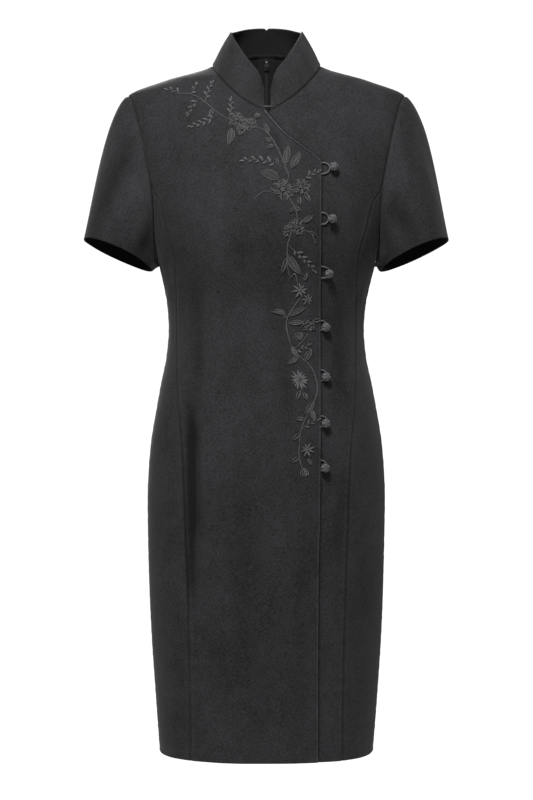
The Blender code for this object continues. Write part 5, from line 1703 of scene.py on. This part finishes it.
@dataclass
class BackZip:
    """The zip: two tapes, its teeth, the slider, its pull tab and the top stop."""

    form: BodyForm
    tape_thickness: float = 0.0006
    tape_gap: float = 0.0003
    tape_width: float = 0.011
    tape_lap: float = 0.0001
    tape_above: float = 0.0015
    tape_rows: int = 149
    tape_columns: int = 16
    # How much paler the tapes are along the slot, and over what width
    tape_paler_at_slot: float = 1.6
    tape_paler_width: float = 0.0018
    above_end: float = 0.004
    slider_drop: float = 0.014
    plate: float = 0.0014
    plate_edge: float = 0.0002
    face_gap: float = 0.0006
    half_width: float = 0.0035
    half_length: float = 0.0050
    inner_length: float = 0.009
    corner: float = 0.0016
    tunnel_height: float = 0.0018
    bail_radius: float = 0.00055
    bail_route: tuple = ((-0.0037, -0.0003), (-0.0034, 0.0014), (-0.0022, 0.0021), (0.0, 0.00222),
                         (0.0022, 0.0021), (0.0034, 0.0014), (0.0037, -0.0003))
    tab_bar: float = 0.0010
    tab_length: float = 0.0230
    tooth_pitch: float = 0.0017
    tooth_size: tuple = (0.0021, 0.0019, 0.0012)
    tooth_aside: float = 0.0003
    tooth_depth: float = 0.0011
    sharp: float = 50.0

    def frame(self, place: Array, normal: Array, aside: float = 0.0, lift: float = 0.0) -> Matrix:
        """A frame by a place on the centre back: x across, y out of the cloth, z up along it."""
        out = Vector((0.0, normal[1], normal[2])).normalized()
        frame = Matrix.Identity(4)
        frame.col[1] = (*out, 0.0)
        frame.col[2] = (0.0, -out.z, out.y, 0.0)
        frame.translation = place
        frame.translation = frame @ Vector((aside, lift, 0.0))
        return frame

    def slider_frame(self, lift: float = 0.0) -> Matrix:
        """The slider's frame, or one that lies farther out of the cloth."""
        turn = np.array(2.0)
        height = np.array(BACK_NECK_Z - self.slider_drop)
        place = self.form.point(turn, height) * np.array([0.0, 1.0, 1.0])
        return self.frame(place, self.form.normal(turn, height), lift=lift)

    @property
    def axis_lift(self) -> float:
        """How far the bail's axis lies out of the cloth."""
        return self.face_gap + self.plate + self.tunnel_height / 2

    def tape(self, side: int, word: str) -> Thing:
        """A tape inside a back, along the zip."""
        height = np.linspace(ZIP_END_Z + self.above_end, BACK_NECK_Z + self.tape_above,
                             self.tape_rows + 1)
        across = np.linspace(0.00002, ZIP_SLOT_HALF + self.tape_width, self.tape_columns + 1)
        width, level = np.meshgrid(across, height)
        turn = 2 - self.form.front_turn(width, level)
        points, normals = self.form.skin(side * turn, level)
        points = points - normals * (CLOTH + self.tape_gap)
        points[:, 0, 0] = -side * self.tape_lap
        thing = grid_object(f"zip_tape_{word}_woven", points, np.stack([width, level], axis=-1), normals,
                            self.tape_paler_at_slot * bell(width, self.tape_paler_width))
        give_thickness(thing, self.tape_thickness, shaded_inside=False)
        return thing

    def teeth(self) -> Thing:
        """The closed chain: small rounded teeth that reach in from both sides by turns."""
        shape = bmesh.new()
        low = ZIP_END_Z + self.above_end
        top = BACK_NECK_Z - self.slider_drop - self.half_length - 0.0012
        heights = low + np.arange(int((top - low) / self.tooth_pitch)) * self.tooth_pitch
        points, normals = self.form.skin(np.full(len(heights), 2.0), heights)
        for index, (point, normal) in enumerate(zip(points, normals)):
            side = 1 if index % 2 else -1
            made = bmesh.ops.create_cube(shape, size=1.0)["verts"]
            bmesh.ops.scale(shape, vec=self.tooth_size, verts=made)
            tooth = rounded(shape, list({edge for vert in made for edge in vert.link_edges}), 0.0003, 1)
            frame = self.frame(point, normal, side * self.tooth_aside, -self.tooth_depth)
            bmesh.ops.transform(shape, matrix=frame, verts=tooth)
        return shape_object("zip_teeth", shape, self.sharp)

    def plate_shape(self, shape: Shape, size: Colour, centre: Colour, corner: float) -> None:
        """Add a rounded plate of a size round a centre, in the slider's frame."""
        made = bmesh.ops.create_cube(shape, size=1.0)["verts"]
        bmesh.ops.scale(shape, vec=size, verts=made)
        bmesh.ops.translate(shape, vec=centre, verts=made)
        upright = [e for e in {e for v in made for e in v.link_edges}
                   if abs(e.verts[0].co.y - e.verts[1].co.y) > size[1] / 2]
        corners = rounded(shape, upright, corner, 4)
        faces = {face for vert in corners for face in vert.link_faces}
        rims = [e for e in {e for face in faces for e in face.edges}
                if abs(e.verts[0].co.y - e.verts[1].co.y) < 1e-6]
        rounded(shape, rims, self.plate_edge)

    def slider(self) -> Thing:
        """The slider: an outer and an inner plate, their bridge and the arched bail."""
        work = StitchWork("zip_slider_body")
        inside = -(CLOTH + self.tape_gap + self.tape_thickness + self.face_gap)
        depth = self.face_gap - inside + self.plate
        outer, inner, bridge = (
            ((2 * self.half_width, self.plate, 2 * self.half_length), self.face_gap + self.plate / 2, 0.0),
            ((2 * self.half_width, self.plate, self.inner_length), inside - self.plate / 2, 0.0),
            ((0.0020, depth, 0.0072), (self.face_gap + inside) / 2, 0.0006))
        for (size, lift, up), corner in ((outer, self.corner), (inner, self.corner), (bridge, 0.0006)):
            self.plate_shape(work.shape, size, (0.0, lift, up), corner)
        outside = self.face_gap + self.plate
        route = smooth_route(np.array([(0.0, outside + lift, along) for along, lift in self.bail_route]), 24)
        work.add(*tube(route, self.bail_radius, np.array([1.0, 0.0, 0.0])), wraps=True)
        bmesh.ops.transform(work.shape, matrix=self.slider_frame(), verts=work.shape.verts)
        return shape_object(work.name, work.shape, self.sharp)

    def pull_tab(self) -> Thing:
        """The pull tab: a rounded plate with a window that hangs on the bail."""
        shape = bmesh.new()
        half = self.tab_bar / 2
        outline = smooth_route(np.array([
            (-0.0030, half - 0.0006), (-0.0024, half), (0.0024, half), (0.0030, half - 0.0006),
            (0.0029, -0.010), (0.0026, -0.0195), (0.0018, -0.0224), (0.0, -self.tab_length),
            (-0.0018, -0.0224), (-0.0026, -0.0195), (-0.0029, -0.010)]), 52, closed=True)[:-1]
        window = smooth_route(np.array([
            (-0.0014, -half - 0.0002), (0.0014, -half - 0.0002), (0.0014, -0.0052), (-0.0014, -0.0052)]),
            28, closed=True)[:-1]
        loops = []
        for ring in (outline, window):
            verts = [shape.verts.new((x, -half, z)) for x, z in ring]
            loops += [shape.edges.new(pair) for pair in zip(verts, verts[1:] + verts[:1])]
        bmesh.ops.triangle_fill(shape, use_beauty=True, use_dissolve=False, edges=loops)
        made = bmesh.ops.extrude_face_region(shape, geom=shape.faces[:])
        moved = [item for item in made["geom"] if isinstance(item, bmesh.types.BMVert)]
        bmesh.ops.translate(shape, vec=(0.0, self.tab_bar, 0.0), verts=moved)
        rims = [edge for edge in shape.edges
                if len(edge.link_faces) == 2 and edge.calc_face_angle(0.0) > 1.0]
        rounded(shape, rims, 0.00018)
        bmesh.ops.transform(shape, matrix=self.slider_frame(self.axis_lift), verts=shape.verts)
        return shape_object("zip_tab_plate", shape, self.sharp)

    def stop(self) -> Thing:
        """The small clamp at the top of the slot."""
        shape = bmesh.new()
        self.plate_shape(shape, (0.0026, 0.0030, 0.0024), (0.0, -CLOTH / 2 - 0.0004, 0.0075), 0.0005)
        bmesh.ops.transform(shape, matrix=self.slider_frame(), verts=shape.verts)
        return shape_object("zip_stop_clamp", shape, self.sharp)


@dataclass
class Hook:
    """The thread bar that closes the base of the keyhole."""

    inset: float = 0.0030
    drop: float = 0.0016
    radius: float = 0.0008

    def build(self) -> Thing:
        """Build the bar and the small knot at each end."""
        low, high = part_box("collar_hook")
        middle = (low + high) / 2
        right = low.x + self.inset
        left = high.x - self.inset
        height = middle.z - self.drop
        work = StitchWork("collar_hook_thread")
        route = smooth_route(np.array([
            (right - 0.0012, middle.y + 0.0004, height + 0.0004), (right, middle.y, height),
            (middle.x, middle.y - 0.0005, height - 0.0002), (left, middle.y, height),
            (left + 0.0012, middle.y + 0.0004, height + 0.0004)]), 20)
        radii = self.radius * (1 + 0.25 * np.abs(np.linspace(-1, 1, len(route))) ** 4)
        work.add(*tube(route, radii, np.array([0.0, 0.0, 1.0])), wraps=True)
        return work.finish()


@dataclass
class Studio:
    """The camera at the photograph's angle, the soft lights and the pale floor."""

    camera_distance: float = 2.9
    camera_height: float = -0.469
    metres_a_pixel: float = 0.001405
    picture_height: int = 800
    sensor: float = 36.0
    floor_height: float = -1.34
    floor_radius: float = 1.35
    soft_strength: float = 0.11
    seen_strength: float = 1.1
    lights: tuple = (
        ("key", (-0.35, -1.70, 1.35), (0.0, -0.10, -0.05), 0.5, 72.0),
        ("fill", (0.6, -2.6, 0.5), (0.0, 0.0, -0.35), 1.6, 12.0),
        ("top", (0.0, -0.7, 1.4), (0.0, 0.0, -0.1), 0.8, 5.0),
        ("back", (-0.6, 2.2, 1.2), (0.0, 0.0, -0.3), 1.2, 105.0),
        ("left_side", (2.2, 1.5, 0.6), (0.0, 0.0, -0.4), 1.2, 24.0),
        ("right_side", (-2.2, 1.5, 0.6), (0.0, 0.0, -0.4), 1.2, 16.0),
    )

    def camera(self) -> None:
        """Make the camera and set it."""
        data = bpy.data.cameras.new("camera")
        data.sensor_width = self.sensor
        data.lens = self.sensor * self.camera_distance / (self.picture_height * self.metres_a_pixel)
        camera = new_object("camera", data)
        camera.location = (0.0, -self.camera_distance, self.camera_height)
        camera.rotation_euler = (math.pi / 2, 0.0, 0.0)
        bpy.context.scene.camera = camera

    def light(self) -> None:
        """Make the soft lights and the white surroundings."""
        for name, place, target, size, power in self.lights:
            data = bpy.data.lights.new(name, "AREA")
            data.shape = "DISK"
            data.size = size
            data.energy = power
            lamp = new_object(name, data)
            lamp.location = place
            aim = Vector(target) - Vector(place)
            lamp.rotation_euler = aim.to_track_quat("-Z", "Y").to_euler()
        world = bpy.data.worlds.new("white")
        world.use_nodes = True
        tree = world.node_tree
        soft = tree.nodes["Background"]
        seen = tree.nodes.new("ShaderNodeBackground")
        for node, strength in ((soft, self.soft_strength), (seen, self.seen_strength)):
            node.inputs["Color"].default_value = (1.0, 1.0, 1.0, 1.0)
            node.inputs["Strength"].default_value = strength
        path = tree.nodes.new("ShaderNodeLightPath")
        mix = tree.nodes.new("ShaderNodeMixShader")
        tree.links.new(path.outputs["Is Camera Ray"], mix.inputs["Fac"])
        tree.links.new(soft.outputs[0], mix.inputs[1])
        tree.links.new(seen.outputs[0], mix.inputs[2])
        tree.links.new(mix.outputs[0], tree.nodes["World Output"].inputs["Surface"])
        bpy.context.scene.world = world
        bpy.context.scene.view_settings.view_transform = "Standard"

    def floor(self) -> None:
        """Make the round pale floor below the dress."""
        shape = bmesh.new()
        bmesh.ops.create_circle(shape, cap_ends=True, segments=96, radius=self.floor_radius)
        bmesh.ops.translate(shape, vec=(0.0, 0.0, self.floor_height), verts=shape.verts)
        mesh = bpy.data.meshes.new("floor")
        shape.to_mesh(mesh)
        shape.free()
        mesh.materials.append(Ground("floor_pale", (0.80, 0.80, 0.80), (0.86, 0.86, 0.86)).material())
        floor = new_object("floor", mesh)


SIDES = ((-1, "right"), (1, "left"))

# Height, distance of the button from the placket edge, its loop's reach up and down, and how
# far the loop pulls the ball towards the edge
BUTTONS = (
    (-0.1555, 0.0145, 0.0080, 0.0080, 0.0),
    (-0.2240, 0.0130, 0.0080, 0.0080, 0.0014),
    (-0.2960, 0.0098, 0.0078, 0.0078, 0.0022),
    (-0.3700, 0.0064, 0.0092, 0.0036, 0.0026),
    (-0.4390, 0.0066, 0.0110, 0.0036, 0.0026),
    (-0.5015, 0.0066, 0.0110, 0.0036, 0.0026),
    (-0.5610, 0.0062, 0.0106, 0.0036, 0.0026),
)


def dress_piece(thing: Thing, material: Material, slot: str, *nodes: str,
                body: str = "dress", inside_shade_cloth: Material | None = None) -> None:
    """Give a piece its finish, its body and the nodes it stands for."""
    thing.data.materials.clear()
    thing.data.materials.append(material)
    if inside_shade_cloth is not None:
        thing.data.materials.append(inside_shade_cloth)
    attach(thing, body)
    if nodes:
        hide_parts(*nodes)
    log.info("%s: %d faces", thing.name, len(thing.data.polygons))


def body_panels(form: BodyForm, pattern: Pattern) -> list[ClothPanel]:
    """The six panels of the dress's body."""
    corners = (TIP_ROW, PLACKET_TOP_ROW, NECK_CORNER_ROW)
    panels = [
        ClothPanel(form, "front_overlap", -1, pattern.front_outer, pattern.overlap_inner, SHOULDER_ROW, 92,
                   300, (0.29, 0.99), 0.195,
                   ((PLACKET_TOP_ROW, Edge.FREE), (NECK_CORNER_ROW, Edge.PIPED), (SHOULDER_ROW, Edge.SEWN)),
                   corners=corners),
        ClothPanel(form, "front_underlap", 1, pattern.front_outer, pattern.underlap_inner, SHOULDER_ROW, 54,
                   300, (0.21, 0.98), 0.092, ((NECK_CORNER_ROW, Edge.HIDDEN), (SHOULDER_ROW, Edge.SEWN)),
                   corners=corners, lapped=True),
    ]
    for side, word in SIDES:
        panels.append(ClothPanel(
            form, f"side_front_{word}", side, pattern.side_outer, pattern.princess, TIP_ROW, 34, 250,
            (0.105, 0.80), 0.072, ((TIP_ROW, Edge.SEWN),), last_row=Edge.HIDDEN,
            corners=(UNDERARM_ROW,), armhole_from=UNDERARM_ROW))
        panels.append(ClothPanel(
            form, f"back_{word}", side, pattern.back_outer, pattern.back_inner, BACK_SHOULDER_ROW, 72, 300,
            (0.265, 1.00), 0.205, ((BACK_NECK_ROW, Edge.HIDDEN), (BACK_SHOULDER_ROW, Edge.SEWN)),
            corners=(UNDERARM_ROW, BACK_NECK_ROW), armhole_from=UNDERARM_ROW))
    return panels


def dress_fronts_and_backs(form: BodyForm, pattern: Pattern, cloth: Material,
                           inside_shade_cloth: Material) -> None:
    """Build the body's panels."""
    for panel in body_panels(form, pattern):
        thing = panel.build()
        dress_piece(thing, cloth, "cloth", panel.node, inside_shade_cloth=inside_shade_cloth)


def dress_sleeves_and_collar(form: BodyForm, pattern: Pattern, cloth: Material,
                             collar_cloth: Material, inside_shade_cloth: Material) -> None:
    """Build the sleeves and the collar."""
    for side, word in SIDES:
        sleeve = Sleeve(form, pattern, side, word).build()
        dress_piece(sleeve, cloth, "cloth", f"sleeve_{word}", inside_shade_cloth=inside_shade_cloth)
        collar = CollarHalf(form, pattern, side, word).build()
        dress_piece(collar, collar_cloth, "cloth", f"collar_{word}", inside_shade_cloth=inside_shade_cloth)


def dress_fastenings(form: BodyForm, cord: Material) -> None:
    """Build the buttons, their loops and the collar's hook."""
    for number, row in enumerate(BUTTONS, start=1):
        fastening = Fastening(form, number, *row)
        dress_piece(fastening.button(), cord, "cord", f"button_{number}")
        dress_piece(fastening.loop(), cord, "cord", f"button_loop_{number}")
    dress_piece(Hook().build(), cord, "cord", "collar_hook")


def dress_zip(form: BodyForm, tape: Material, coil: Material, metal: Material, bare: Material) -> None:
    """Build the back zip."""
    fastener = BackZip(form)
    for side, word in SIDES:
        dress_piece(fastener.tape(side, word), tape, "zip_tape", f"zip_tape_{word}")
    dress_piece(fastener.teeth(), coil, "zip_tape", "zip_chain")
    dress_piece(fastener.slider(), metal, "zip_metal", "zip_slider")
    dress_piece(fastener.stop(), bare, "zip_metal", "zip_top_stop")
    dress_piece(fastener.pull_tab(), metal, "zip_metal", "zip_pull_tab", body="pull_tab")


def main() -> None:
    """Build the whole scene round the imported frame."""
    logging.basicConfig(level=logging.INFO, format="%(name)s: %(message)s")
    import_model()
    studio = Studio()
    studio.camera()
    studio.light()
    studio.floor()
    form = BodyForm()
    pattern = Pattern(form)
    cloth = WashedCloth("washed_cloth", (0.0075, 0.0075, 0.0080), (0.0325, 0.0325, 0.0348)).material()
    collar_cloth = WashedCloth("collar_cloth", (0.0080, 0.0080, 0.0085), (0.0290, 0.0290, 0.0309)).material()
    # Painted shade: a darker copy of the cloth for the inside faces, standing in for the shade inside the
    # dress
    inside_shade_cloth = WashedCloth("inner_painted_shade_cloth", (0.0055, 0.0055, 0.0059), (0.0120, 0.0120, 0.0127),
                         sheen=0.02, shine=0.08).material()
    floss = Floss("embroidery_floss", (0.0016, 0.0016, 0.0017), (0.0760, 0.0760, 0.0800)).material()
    cord = SatinCord("loop_cord", (0.0050, 0.0050, 0.0053), (0.0920, 0.0920, 0.0970)).material()
    tape = WashedCloth("zip_tape_weave", (0.0060, 0.0060, 0.0063), (0.0125, 0.0125, 0.0131),
                       weave_pitch=0.0008, sheen=0.05).material()
    coil = Enamel("zip_coil", (0.030, 0.030, 0.032), (0.060, 0.060, 0.063), metallic=0.0).material()
    metal = Enamel("zip_enamel", (0.012, 0.012, 0.013), (0.030, 0.030, 0.032), metallic=0.2).material()
    bare = Enamel("zip_bare_metal", (0.42, 0.42, 0.43), (0.62, 0.62, 0.63)).material()
    dress_fronts_and_backs(form, pattern, cloth, inside_shade_cloth)
    dress_sleeves_and_collar(form, pattern, cloth, collar_cloth, inside_shade_cloth)
    dress_fastenings(form, cord)
    dress_zip(form, tape, coil, metal, bare)
    vine = Embroidery(form, StitchWork("embroidered_vine")).build()
    dress_piece(vine, floss, "cord")


if __name__ == "__main__":
    main()
